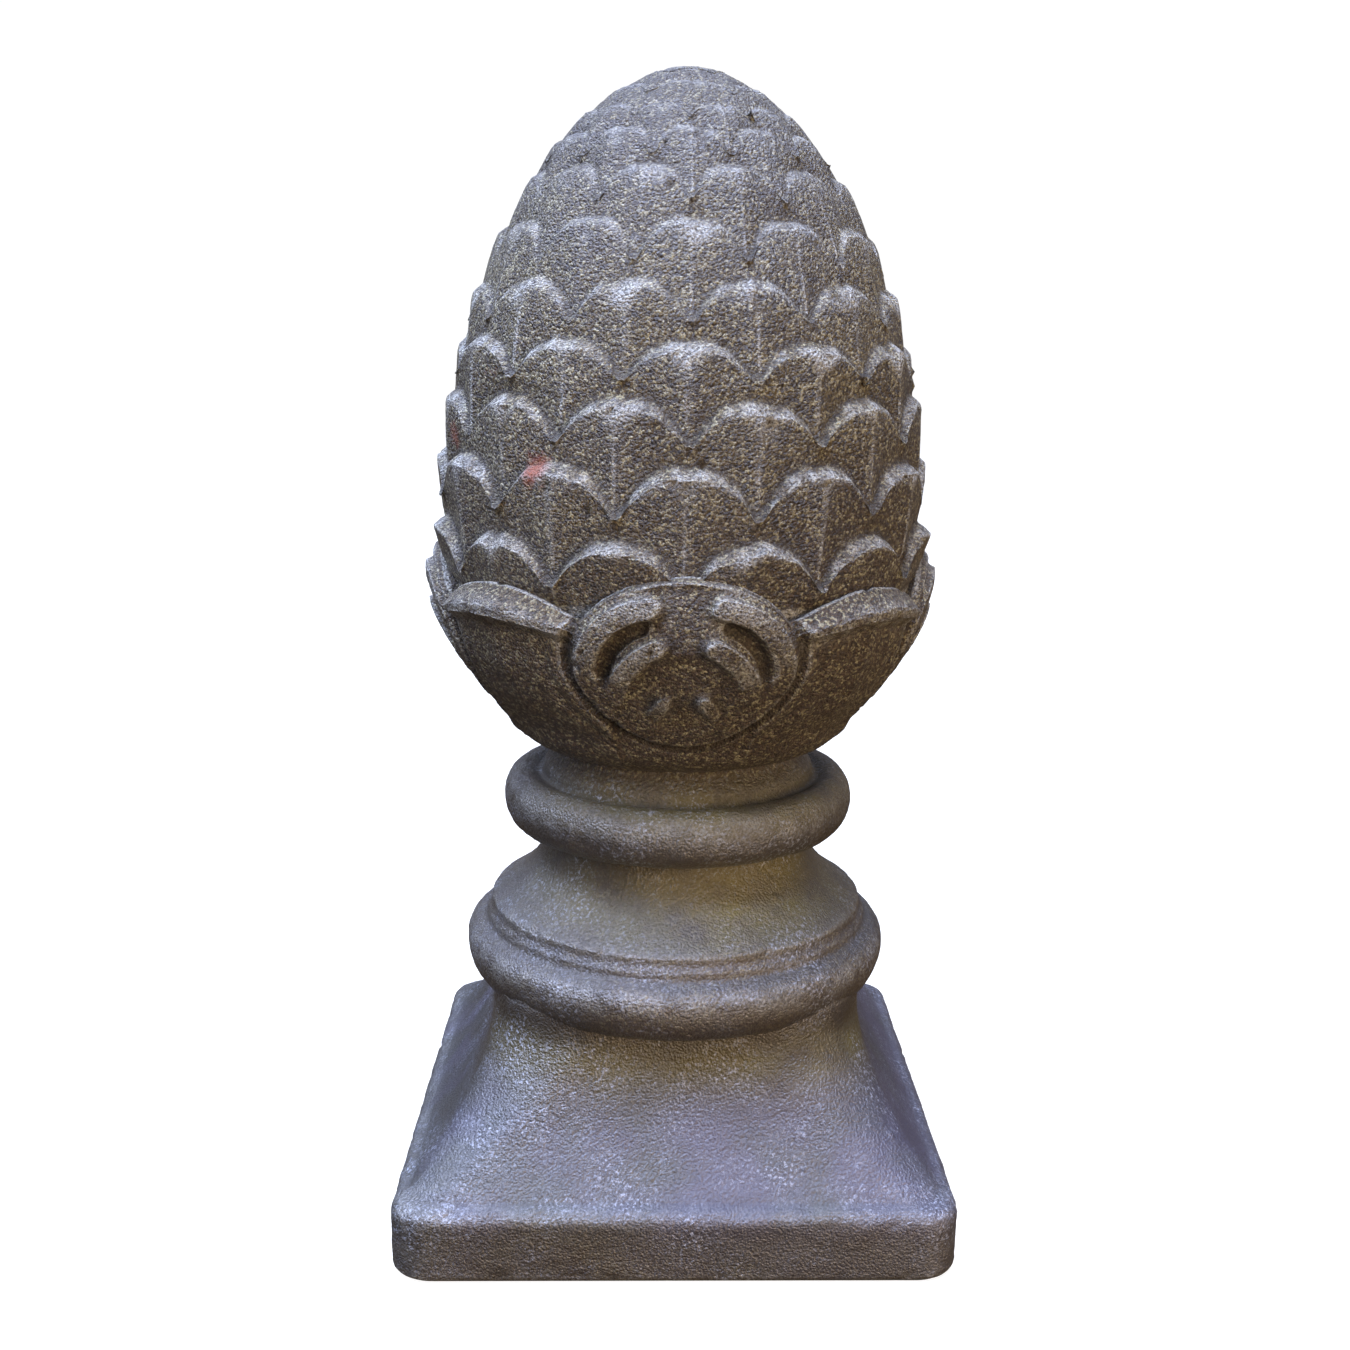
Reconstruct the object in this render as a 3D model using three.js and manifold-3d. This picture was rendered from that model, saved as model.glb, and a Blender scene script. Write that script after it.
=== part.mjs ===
// Pinecone finial: one casting of reconstituted stone for a gate pier or a garden wall.
// Millimetres, +Z up, the underside on Z = 0 and the front towards -Y.

import * as THREE from 'three';
import { mergeVertices } from 'three/addons/utils/BufferGeometryUtils.js';
import Module from 'manifold-3d';

const wasm = await Module();
wasm.setup();

// Base: a square plinth with a rounded skirt
const BASE_SIDE = 242;
const BASE_CORNER_RADIUS = 17;
const SKIRT_HEIGHT = 33;
const SKIRT_EDGE_ROUND = 5.5;
const FOOT_ROUND = 3;
const EDGE_FACET = 0.3;

// Sweep: the hollow pyramid from the skirt up to a neck whose corners are well rounded
const SWEEP_HEIGHT = 59;
const NECK_SIDE = 168;
const NECK_CORNER_RADIUS = 50;
const NECK_HEIGHT = 6.5;
const SWEEP_HOLLOW = 1.9;
const HIP_HOLLOW = 1.6;

// Where the section of a ring starts below its widest place, and where it ends above it
const RING_ROOT_DEG = 130;
const LOWER_RING_END_DEG = 80;
const UPPER_RING_END_DEG = 110;

// Lower ring, the small bead on it and the foot of the drum
const LOWER_RING_RADIUS = 99.3;
const LOWER_RING_TUBE = 10.3;
const LOWER_RING_BELLY = 17;
const LOWER_RING_BROW = 10.5;
const BEAD_RADIUS = 90.3;
const BEAD_TUBE = 2.4;
const BEAD_FLANK = 0.5;
const BEAD_BACK_RISE = 0.8;
const GROOVE_RISE = 1.3;
const GROOVE_DEPTH = 2.8;
const DRUM_FOOT_RADIUS = 88.8;
const DRUM_FOOT_STEP = 4.4;

// Drum: the waisted shaft between the two rings
const DRUM_HEIGHT = 35;
const DRUM_RADIUS = 61;
const DRUM_HOLLOW = 2.2;
const DRUM_RIM = 2.5;

// Upper ring and the collar under the bowl
const UPPER_RING_RADIUS = 81.7;
const UPPER_RING_TUBE = 10;
const UPPER_RING_BELLY = 14.7;
const UPPER_RING_BROW = 13;
const COLLAR_RISE = 9.2;
const COLLAR_RADIUS = 63.4;
const COLLAR_HEIGHT = 14;
const COLLAR_NECK_RADIUS = 56.5;
const COLLAR_NECK_RISE = 0.87;

// Section of the collar: shares of its radius and of its height
const COLLAR_SECTION = [[0.985, 0], [1, 0.42], [0.95, 0.7]];

// Bowl of the calyx and the cone of scales above it
const BOWL_HEIGHT = 99;
const CONE_HEIGHT = 198.5;
const CONE_RADIUS = 111;
const CONE_FULLNESS = 0.57;

// Profile of the bowl: shares of the cone's radius and of the bowl's height
const BOWL_PROFILE = [[0.63, 0.045], [0.737, 0.2], [0.865, 0.41], [0.964, 0.66], [0.983, 0.86], [0.962, 1]];
const BARE_BOWL_STATIONS = 3;

// Scales: arched edges with a ledge behind them and a keeled face above
const SCALES_PER_ROW = 12;
const LEDGE_WIDTH = 4.6;
const SCALE_BULGE = 1.6;
const SCALE_KEEL = 1.8;
const VALLEY_SINK = 2.4;
const VALLEY_LEDGE_LOSS = 0.35;
const ARCH_OVERLAP = 1.13;
const ARCH_SQUARENESS = 2.3;
const SMALLEST_SCALE = 0.4;
const SWELL_AT_MIDDLE = 0.7;

// Tips of the rows as shares of the cone's height
const ROW_LEVELS = [0.043, 0.189, 0.317, 0.428, 0.539, 0.662, 0.768, 0.846, 0.897];
const CROWN_LEVEL = 0.953;
const CROWN_SCALES = 6;
const TIP_SHARE = 0.68;
const LEDGE_RISE = 0.02;

// Bud on the top: where its shoulder lies and how far it closes in
const BUD_LEVEL = 0.985;
const BUD_SHOULDER_LEVEL = 0.988;
const BUD_SHARE = 0.75;

// Medallions: four oval shields, each with three pairs of curling fronds
const MEDALLION_COUNT = 4;
const MEDALLION_WIDTH = 98;
const MEDALLION_HEIGHT = 76;
const MEDALLION_DROP = 43;
const MEDALLION_PROUD = 2.4;
const MEDALLION_EDGE_ROUND = 1.2;
const MEDALLION_RIM = 0.96;
const MEDALLION_DOME = 0.6;
const MEDALLION_CROWN = 0.3;
const MEDALLION_ARC_SHARE = 0.965;
const FROND_PROUD = 3;
const FROND_LIMIT = 0.97;

// Corner leaves: broad leaves between the medallions with a rolled lip
const LEAF_SPAN_DEG = 48;
const LEAF_DROP = 13;
const LEAF_ARCH = 9;
const LEAF_REACH = 8.5;
const LEAF_END_REACH = 4;
const LEAF_LIP_THICKNESS = 12;
const LEAF_HEIGHT = 66;
const LEAF_RIB = 1.2;

// How far the applied shapes run into the body that carries them
const ROOTED = 6;

// Facets
const BASE_COLUMNS = 32;
const TURNED_COLUMNS = 32;
const CONE_COLUMNS = 72;
const MEDALLION_SECTORS = 18;
const LEAF_SLICES = 6;
const RING_STEPS = 5;
const BULGED_ROWS = 3;
const CORNER_GATHER = 0.19;

const degrees = (value) => THREE.MathUtils.degToRad(value);

// Heights that the stack of sizes gives
const sweepTop = SKIRT_HEIGHT + SWEEP_HEIGHT;
const rootShare = Math.sin(degrees(RING_ROOT_DEG));
const lowerRingZ = sweepTop + NECK_HEIGHT + LOWER_RING_BELLY * rootShare;
const beadZ = lowerRingZ + LOWER_RING_BROW + BEAD_TUBE;
const drumFootZ = beadZ + BEAD_TUBE + DRUM_FOOT_STEP;
const drumTop = drumFootZ + DRUM_HEIGHT;
const upperRingZ = drumTop + DRUM_RIM + UPPER_RING_BELLY * rootShare;
const collarZ = upperRingZ + COLLAR_RISE;
const bowlZ = collarZ + COLLAR_HEIGHT;
const coneZ = bowlZ + BOWL_HEIGHT;
const topZ = coneZ + CONE_HEIGHT;

// A closed geometry without doubles or flat triangles, as a solid for joining
function solidFrom(geometry) {
  geometry.deleteAttribute('normal');
  geometry.deleteAttribute('uv');
  const merged = mergeVertices(geometry, 1e-4);
  const source = merged.index.array;
  const corners = [];
  for (let i = 0; i < source.length; i += 3) {
    const [a, b, c] = [source[i], source[i + 1], source[i + 2]];
    if (a !== b && b !== c && c !== a) corners.push(a, b, c);
  }
  return new wasm.Manifold(new wasm.Mesh({
    numProp: 3,
    vertProperties: new Float32Array(merged.attributes.position.array),
    triVerts: new Uint32Array(corners),
  }));
}

// The joined solid as a geometry again
function geometryFrom(solid) {
  const mesh = solid.getMesh();
  const geometry = new THREE.BufferGeometry();
  geometry.setAttribute('position', new THREE.BufferAttribute(mesh.vertProperties, 3));
  geometry.setIndex(new THREE.BufferAttribute(mesh.triVerts, 1));
  geometry.computeVertexNormals();
  return geometry;
}

// A point at a radius, an angle from the front towards +X, and a height
const polar = (radius, angle, z) => [radius * Math.sin(angle), -radius * Math.cos(angle), z];

// Radius of a square with rounded corners in one direction from its middle
function roundedSquareRadius(angle, half, corner) {
  const long = Math.max(Math.abs(Math.sin(angle)), Math.abs(Math.cos(angle)));
  const short = Math.min(Math.abs(Math.sin(angle)), Math.abs(Math.cos(angle)));
  const straight = half - corner;
  if (half * short / long <= straight) return half / long;
  const along = straight * (long + short);
  return along + Math.sqrt(along * along - 2 * straight * straight + corner * corner);
}

// Rings of the skirt, whose sides are upright and whose edges are rounded
function skirtRings() {
  const half = BASE_SIDE / 2;
  const inset = (distance, z) => ({ half: half - distance, corner: BASE_CORNER_RADIUS, z });
  const round = SKIRT_EDGE_ROUND;
  return [
    inset(FOOT_ROUND, 0),
    inset(0, FOOT_ROUND),
    inset(0, SKIRT_HEIGHT - round),
    inset(round * EDGE_FACET, SKIRT_HEIGHT - round * EDGE_FACET),
    inset(round, SKIRT_HEIGHT),
  ];
}

// Rings of the sweep: hollow hips and faces, and corners that open towards the neck
function sweepRings() {
  const steps = 5;
  const diagonal = Math.SQRT2;
  const hipOf = (half, corner) => diagonal * half - (diagonal - 1) * corner;
  const startHalf = BASE_SIDE / 2 - SKIRT_EDGE_ROUND;
  const startHip = hipOf(startHalf, BASE_CORNER_RADIUS);
  const endHalf = NECK_SIDE / 2;
  const endHip = hipOf(endHalf, NECK_CORNER_RADIUS);
  const rings = [];
  for (let i = 1; i <= steps; i += 1) {
    const rise = i / steps;
    const half = endHalf + (startHalf - endHalf) * (1 - rise) ** SWEEP_HOLLOW;
    const hip = endHip + (startHip - endHip) * (1 - rise) ** HIP_HOLLOW;
    const corner = Math.min(half, (diagonal * half - hip) / (diagonal - 1));
    rings.push({ half, corner, z: SKIRT_HEIGHT + SWEEP_HEIGHT * rise });
  }
  return rings;
}

// The square base: skirt, sweep and the neck that runs up into the lower ring
function makeBase() {
  const neck = { half: NECK_SIDE / 2, corner: NECK_CORNER_RADIUS, z: lowerRingZ };
  const rings = [...skirtRings(), ...sweepRings(), neck];
  const profile = [new THREE.Vector2(0, 0)];
  for (const ring of rings) profile.push(new THREE.Vector2(ring.half, ring.z));
  profile.push(new THREE.Vector2(0, neck.z));
  const geometry = new THREE.LatheGeometry(profile, BASE_COLUMNS);
  const position = geometry.attributes.position;
  for (let column = 0; column <= BASE_COLUMNS; column += 1) {
    const even = (column % BASE_COLUMNS) / BASE_COLUMNS * 2 * Math.PI;
    for (let row = 0; row < profile.length; row += 1) {
      const ring = rings[row - 1];
      let radius = 0;
      let angle = even;
      if (ring) {
        // Columns gather at the corners while the section is still square
        const squareness = 1 - ring.corner / ring.half;
        angle += CORNER_GATHER * squareness * Math.sin(4 * even);
        radius = roundedSquareRadius(angle, ring.half, ring.corner);
      }
      position.setXYZ(column * profile.length + row, ...polar(radius, angle, profile[row].y));
    }
  }
  return solidFrom(geometry);
}

// Section of a ring: half its width, and the heights of its lower and its upper half
function ringSection(outer, tube, belly, brow, z, to) {
  const points = [];
  for (let i = 0; i <= RING_STEPS; i += 1) {
    const turn = degrees(-RING_ROOT_DEG + (to + RING_ROOT_DEG) * i / RING_STEPS);
    const tall = turn < 0 ? belly : brow;
    points.push([outer - tube + tube * Math.cos(turn), z + tall * Math.sin(turn)]);
  }
  return points;
}

// Section of the drum, waisted from its foot to the upper ring
function drumSection() {
  const steps = 3;
  const points = [];
  for (let i = 0; i <= steps; i += 1) {
    const rise = i / steps;
    const flare = (DRUM_FOOT_RADIUS - DRUM_RADIUS) * (1 - rise) ** DRUM_HOLLOW;
    points.push([DRUM_RADIUS + flare, drumFootZ + DRUM_HEIGHT * rise]);
  }
  return points;
}

// The turned part of the shaft: lower ring, bead, drum, upper ring and collar
function makeTurned() {
  const lower = [LOWER_RING_RADIUS, LOWER_RING_TUBE, LOWER_RING_BELLY, LOWER_RING_BROW];
  const upper = [UPPER_RING_RADIUS, UPPER_RING_TUBE, UPPER_RING_BELLY, UPPER_RING_BROW];
  const points = [
    ...ringSection(...lower, lowerRingZ, LOWER_RING_END_DEG),
    [BEAD_RADIUS - BEAD_TUBE * BEAD_FLANK, beadZ - BEAD_TUBE],
    [BEAD_RADIUS, beadZ],
    [BEAD_RADIUS - BEAD_TUBE * BEAD_FLANK, beadZ + BEAD_TUBE * BEAD_BACK_RISE],
    [BEAD_RADIUS - GROOVE_DEPTH, beadZ + BEAD_TUBE * GROOVE_RISE],
    ...drumSection(),
    ...ringSection(...upper, upperRingZ, UPPER_RING_END_DEG),
    ...COLLAR_SECTION.map(([out, up]) => [COLLAR_RADIUS * out, collarZ + COLLAR_HEIGHT * up]),
    [COLLAR_NECK_RADIUS, collarZ + COLLAR_HEIGHT * COLLAR_NECK_RISE],
    [COLLAR_NECK_RADIUS, bowlZ + ROOTED],
  ];
  const rooted = [[0, points[0][1]], ...points, [0, bowlZ + ROOTED]];
  const profile = rooted.map(([radius, z]) => new THREE.Vector2(radius, z));
  const geometry = new THREE.LatheGeometry(profile, TURNED_COLUMNS);
  return solidFrom(geometry.rotateX(Math.PI / 2));
}

// Profile of the bowl, from the collar's neck out to the first row of scales
const bowlCurve = new THREE.SplineCurve([
  new THREE.Vector2(COLLAR_NECK_RADIUS, bowlZ),
  ...BOWL_PROFILE.map(([out, up]) => new THREE.Vector2(CONE_RADIUS * out, bowlZ + BOWL_HEIGHT * up)),
]);
const bowlPoints = bowlCurve.getPoints(40);

// Radius of the calyx's plain body at a height
function bodyRadius(z) {
  if (z <= bowlPoints[0].y) return bowlPoints[0].x;
  for (let i = 1; i < bowlPoints.length; i += 1) {
    const [low, high] = [bowlPoints[i - 1], bowlPoints[i]];
    if (z <= high.y) return low.x + (high.x - low.x) * (z - low.y) / (high.y - low.y);
  }
  return bowlPoints[bowlPoints.length - 1].x;
}

// Radius that the tips of the scales reach at a share of the cone's height
function coneRadius(level) {
  const rise = Math.min(Math.max(level, 0), 1);
  return CONE_RADIUS * (1 - rise * rise) ** CONE_FULLNESS;
}

// The upper edge of one row: its height, how many scales it has and where they stand
function scaleRow(index) {
  const crown = index === ROW_LEVELS.length;
  const level = crown ? CROWN_LEVEL : ROW_LEVELS[index];
  const spacing = index === 0 ? ROW_LEVELS[1] - ROW_LEVELS[0] : level - ROW_LEVELS[index - 1];
  const count = crown ? CROWN_SCALES : SCALES_PER_ROW;
  return { level, drop: TIP_SHARE * spacing, half: Math.PI / count, shift: index % 2 ? 0 : 1 };
}

// Place across a scale: 0 on its keel and 1 or -1 in the valleys beside it
function acrossScale(row, angle) {
  const turn = angle / row.half - row.shift;
  return turn - 2 * Math.round(turn / 2);
}

// Share of the cone's height at which a row's arched edge lies
function edgeLevel(row, across) {
  const shoulder = Math.min(Math.abs(across) * ARCH_OVERLAP, 1);
  return row.level - row.drop * (1 - Math.sqrt(1 - shoulder ** ARCH_SQUARENESS));
}

// The outer edge, the ledge behind it and the middle of the face above, on one column
function rowPoints(index, angle) {
  const row = scaleRow(index);
  const across = acrossScale(row, angle);
  const level = edgeLevel(row, across);
  const tipRadius = coneRadius(row.level);
  const size = SMALLEST_SCALE + (1 - SMALLEST_SCALE) * tipRadius / CONE_RADIUS;
  const edge = level - LEDGE_RISE * size;
  const outer = coneRadius(edge) - VALLEY_SINK * size * across * across;
  const ledge = LEDGE_WIDTH * size * (1 - VALLEY_LEDGE_LOSS * Math.abs(across) ** 3);
  const points = [[outer, edge], [outer - ledge, level]];
  if (index < BULGED_ROWS) {
    const next = scaleRow(index + 1);
    const nextAcross = acrossScale(next, angle);
    const nextLevel = edgeLevel(next, nextAcross);
    const nextOuter = coneRadius(nextLevel) - VALLEY_SINK * size * nextAcross * nextAcross;
    const swell = (SCALE_BULGE + SCALE_KEEL * (1 - Math.abs(nextAcross))) * size;
    const middle = (outer - ledge + nextOuter) / 2;
    points.push([middle + swell * SWELL_AT_MIDDLE, (level + nextLevel) / 2]);
  }
  return points.map(([radius, share]) => [radius, coneZ + CONE_HEIGHT * share]);
}

// The bowl, the rows of scales on it and the bud as one solid
function makeCone() {
  const bare = BOWL_PROFILE.slice(0, BARE_BOWL_STATIONS);
  const bowlRings = bare.map(([, up]) => bowlZ + BOWL_HEIGHT * up);
  const columnPoints = (angle) => {
    const points = [[0, bowlZ - 0.5], [COLLAR_NECK_RADIUS, bowlZ - 0.5]];
    for (const z of bowlRings) points.push([bodyRadius(z), z]);
    for (let index = 0; index <= ROW_LEVELS.length; index += 1) {
      points.push(...rowPoints(index, angle));
    }
    points.push([coneRadius(BUD_LEVEL) * BUD_SHARE, coneZ + CONE_HEIGHT * BUD_SHOULDER_LEVEL], [0, topZ]);
    return points;
  };
  const profile = columnPoints(0).map(([radius, z]) => new THREE.Vector2(radius, z));
  const geometry = new THREE.LatheGeometry(profile, CONE_COLUMNS);
  const position = geometry.attributes.position;
  for (let column = 0; column <= CONE_COLUMNS; column += 1) {
    const angle = (column % CONE_COLUMNS) / CONE_COLUMNS * 2 * Math.PI;
    columnPoints(angle).forEach(([radius, z], row) => {
      position.setXYZ(column * profile.length + row, ...polar(radius, angle, z));
    });
  }
  return solidFrom(geometry);
}

// Where a medallion's middle lies, and the radius on which its width is measured
const medallionZ = coneZ - MEDALLION_DROP;
const arcRadius = CONE_RADIUS * MEDALLION_ARC_SHARE;

// The medallion's oval, turned as a disc with a slightly domed face and then widened
function ovalDisc(stations) {
  const profile = stations.map(([share, out]) => new THREE.Vector2(share, out));
  const geometry = new THREE.LatheGeometry(profile, MEDALLION_SECTORS);
  const position = geometry.attributes.position;
  for (let i = 0; i < position.count; i += 1) {
    const across = position.getZ(i) * MEDALLION_WIDTH / 2;
    const up = position.getX(i) * MEDALLION_HEIGHT / 2;
    position.setXYZ(i, across, up, position.getY(i));
  }
  return solidFrom(geometry);
}

// Fronds of one half of the palmette: middle line and width at each end, from head to root,
// drawn for a medallion of the size given here and stretched with it
const FROND_DRAWING = { width: 98, height: 76 };
const FRONDS = [
  { line: [[13, 30], [29, 23], [40.5, 7], [40, -12], [22, -31]], head: 6, root: 8 },
  { line: [[10.5, 12], [22, 4], [31, -9], [30, -21], [16, -33]], head: 5.4, root: 7 },
  { line: [[8, -13], [13.5, -19], [14, -30]], head: 4.3, root: 4 },
];

// The outline of a frond: a round head, two sides and a blunt root
function frondShape({ line, head, root }, mirror) {
  const wider = MEDALLION_WIDTH / FROND_DRAWING.width;
  const taller = MEDALLION_HEIGHT / FROND_DRAWING.height;
  const drawn = line.map(([x, y]) => new THREE.Vector2(x * wider * mirror, y * taller));
  const curve = new THREE.SplineCurve(drawn);
  const steps = line.length - 1;
  const left = [];
  const right = [];
  for (let i = 0; i <= steps; i += 1) {
    const share = i / steps;
    const middle = curve.getPoint(share);
    const along = curve.getTangent(share);
    const width = (head + (root - head) * share) * taller;
    left.push(new THREE.Vector2(middle.x - along.y * width, middle.y + along.x * width));
    right.push(new THREE.Vector2(middle.x + along.y * width, middle.y - along.x * width));
  }
  const crown = curve.getPoint(0).sub(curve.getTangent(0).multiplyScalar(head * taller));
  return new THREE.Shape([crown, ...right, ...left.reverse()]);
}

// One medallion laid flat: the oval field and the fronds raised on it inside its rim
function makeFlatMedallion() {
  const top = MEDALLION_PROUD + FROND_PROUD;
  const edge = MEDALLION_PROUD - MEDALLION_EDGE_ROUND;
  const dome = MEDALLION_PROUD + MEDALLION_DOME;
  const face = [[1, edge], [MEDALLION_RIM, MEDALLION_PROUD], [0.5, dome], [0, dome + MEDALLION_CROWN]];
  const field = [[0, -ROOTED], [1, -ROOTED], ...face];
  const limit = [[0, 0], [FROND_LIMIT, 0], [FROND_LIMIT, top + 1], [0, top + 1]];
  const options = { depth: top, steps: 1, bevelEnabled: false };
  let fronds = null;
  for (const frond of FRONDS) {
    for (const mirror of [1, -1]) {
      const solid = solidFrom(new THREE.ExtrudeGeometry(frondShape(frond, mirror), options));
      fronds = fronds ? fronds.add(solid) : solid;
    }
  }
  return ovalDisc(field).add(fronds.intersect(ovalDisc(limit)));
}

// A flat medallion bent round the bowl
function bendMedallion(flat, turn) {
  const geometry = geometryFrom(flat);
  const position = geometry.attributes.position;
  for (let i = 0; i < position.count; i += 1) {
    const z = medallionZ + position.getY(i);
    const radius = bodyRadius(z) + position.getZ(i);
    position.setXYZ(i, ...polar(radius, turn + position.getX(i) / arcRadius, z));
  }
  return solidFrom(geometry);
}

// Section of a corner leaf: distance out from the body and height under the lip's top
function leafSection(across) {
  const fade = 1 - across * across;
  const reach = LEAF_END_REACH + (LEAF_REACH - LEAF_END_REACH) * fade;
  const lip = LEAF_LIP_THICKNESS;
  const rib = LEAF_RIB * Math.cos(3 * Math.PI * across);
  return [
    [-ROOTED, -LEAF_HEIGHT],
    [0.4, -LEAF_HEIGHT],
    [2.6 + rib, -LEAF_HEIGHT * 0.8],
    [2.8 + rib, -LEAF_HEIGHT * 0.5],
    [3 + reach * 0.15, -LEAF_HEIGHT * 0.33],
    [reach * 0.9, -lip * 1.5],
    [reach, -lip],
    [reach * 0.9, -lip * 0.6],
    [reach * 0.42, -lip * 0.1],
    [0.5, lip * 0.1],
    [-ROOTED, lip * 0.1],
  ];
}

// One corner leaf, its section carried round the body between two medallions
function makeLeaf(turn) {
  const outline = leafSection(0).map(([out, up]) => new THREE.Vector2(out, up));
  const options = { depth: 1, steps: LEAF_SLICES, bevelEnabled: false };
  const geometry = new THREE.ExtrudeGeometry(new THREE.Shape(outline), options);
  const position = geometry.attributes.position;
  const point = new THREE.Vector2();
  for (let i = 0; i < position.count; i += 1) {
    point.set(position.getX(i), position.getY(i));
    const corner = outline.findIndex((candidate) => candidate.distanceTo(point) < 1e-3);
    const across = 1 - 2 * Math.round(position.getZ(i) * LEAF_SLICES) / LEAF_SLICES;
    const [out, up] = leafSection(across)[corner];
    const z = coneZ - LEAF_DROP - LEAF_ARCH * across * across + up;
    const angle = turn + degrees(LEAF_SPAN_DEG / 2) * across;
    position.setXYZ(i, ...polar(bodyRadius(z) + out, angle, z));
  }
  return solidFrom(geometry);
}

// The whole casting: base, turned shaft and cone, with four medallions and four leaves
function makeFinial() {
  const flat = makeFlatMedallion();
  let casting = makeBase().add(makeTurned()).add(makeCone());
  for (let i = 0; i < MEDALLION_COUNT; i += 1) {
    const turn = i * 2 * Math.PI / MEDALLION_COUNT;
    casting = casting.add(makeLeaf(turn + Math.PI / MEDALLION_COUNT));
    casting = casting.add(bendMedallion(flat, turn));
  }
  return geometryFrom(casting);
}

const castStone = new THREE.MeshStandardMaterial({ color: 0x6f675f, roughness: 0.8, metalness: 0 });
const finial = new THREE.Mesh(makeFinial(), castStone);
finial.name = 'pinecone_finial';

const model = new THREE.Group();
model.add(finial);

export default model;
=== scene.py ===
"""Pinecone finial of weathered cast stone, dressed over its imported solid.

Lengths are millimetres in the classes and metres in Blender. The axis of the finial is Z and
its front medallion faces -Y.
"""

import logging
import math
from dataclasses import dataclass, field
from enum import Enum

import bpy
import numpy as np
from mathutils import Matrix, Vector

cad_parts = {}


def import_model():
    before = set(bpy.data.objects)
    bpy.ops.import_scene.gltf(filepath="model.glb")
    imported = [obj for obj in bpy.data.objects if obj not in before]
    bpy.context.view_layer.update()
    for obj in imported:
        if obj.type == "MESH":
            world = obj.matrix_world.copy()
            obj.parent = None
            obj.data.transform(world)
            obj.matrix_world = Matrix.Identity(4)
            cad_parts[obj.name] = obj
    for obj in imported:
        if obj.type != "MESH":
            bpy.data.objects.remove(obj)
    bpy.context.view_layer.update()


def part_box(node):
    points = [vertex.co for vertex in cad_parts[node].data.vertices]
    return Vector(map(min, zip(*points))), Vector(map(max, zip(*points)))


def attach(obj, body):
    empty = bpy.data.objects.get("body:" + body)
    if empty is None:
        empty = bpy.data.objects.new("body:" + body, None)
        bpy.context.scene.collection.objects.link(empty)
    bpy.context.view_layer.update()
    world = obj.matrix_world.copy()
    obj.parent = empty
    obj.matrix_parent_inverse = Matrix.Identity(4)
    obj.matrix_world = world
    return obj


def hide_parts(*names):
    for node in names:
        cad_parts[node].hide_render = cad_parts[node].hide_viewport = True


LOG = logging.getLogger("finial")
MM = 0.001
NODE = "pinecone_finial"
ON_POINTS = {"data_type": "FLOAT", "domain": "POINT"}

Tree = bpy.types.NodeTree
Socket = bpy.types.NodeSocket


class Carving(Enum):
    """What a stretch of the casting's surface is."""

    SQUARE_BASE = "square_base"
    TURNED_SHAFT = "turned_shaft"
    CALYX = "calyx"
    CONE = "cone"


def linear(hex_code: str) -> tuple[float, float, float, float]:
    """Turns an sRGB hex colour into linear RGBA.

    Args:
        hex_code: six hex digits.

    Returns:
        The linear colour with full alpha.
    """
    parts = [int(hex_code[i : i + 2], 16) / 255 for i in (0, 2, 4)]
    curve = [c / 12.92 if c <= 0.04045 else ((c + 0.055) / 1.055) ** 2.4 for c in parts]
    return (*curve, 1.0)


def add_node(tree: Tree, kind: str, sockets: dict | None = None, **settings: object) -> bpy.types.Node:
    """Adds one node with its settings and the values or links of its sockets.

    Args:
        tree: the tree that gets the node.
        kind: the node's type.
        sockets: input name or number against a value or an output socket.
        **settings: the node's own properties.

    Returns:
        The node.
    """
    node = tree.nodes.new(kind)
    for name, value in settings.items():
        setattr(node, name, value)
    for key, value in (sockets or {}).items():
        if isinstance(value, Socket):
            tree.links.new(value, node.inputs[key])
        else:
            node.inputs[key].default_value = value
    return node


def smooth(low: float, high: float, value: np.ndarray) -> np.ndarray:
    """Smooth step from 0 below low to 1 above high."""
    share = np.clip((value - low) / (high - low), 0.0, 1.0)
    return share * share * (3.0 - 2.0 * share)


def hump(value: np.ndarray, middle: float, width: float) -> np.ndarray:
    """Bell curve of height 1 round a middle."""
    return np.exp(-(((value - middle) / width) ** 2))


def chaikin(points: np.ndarray, rounds: int) -> np.ndarray:
    """Cuts the corners of a chain of points along its first axis, with its ends kept.

    Args:
        points: the chain, one entry for each point.
        rounds: how often the corners are cut.

    Returns:
        The longer and rounder chain.
    """
    for _ in range(rounds):
        near = 0.75 * points[:-1] + 0.25 * points[1:]
        far = 0.25 * points[:-1] + 0.75 * points[1:]
        cut = np.stack([near, far], axis=1).reshape(-1, *points.shape[1:])
        points = np.concatenate([points[:1], cut[1:-1], points[-1:]])
    return points


def rounded_square(angle: np.ndarray, half: np.ndarray, corner: np.ndarray) -> np.ndarray:
    """Radius of a square with rounded corners in one direction from its middle.

    Args:
        angle: the direction, 0 at the middle of a side.
        half: half the square's side.
        corner: the radius of its corners.

    Returns:
        The distance from the middle to the outline.
    """
    long = np.maximum(np.abs(np.sin(angle)), np.abs(np.cos(angle)))
    short = np.minimum(np.abs(np.sin(angle)), np.abs(np.cos(angle)))
    straight = half - corner
    along = straight * (long + short)
    curve = along + np.sqrt(np.maximum(along**2 - 2 * straight**2 + corner**2, 0.0))
    return np.where(half * short / long <= straight, half / long, curve)


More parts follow.
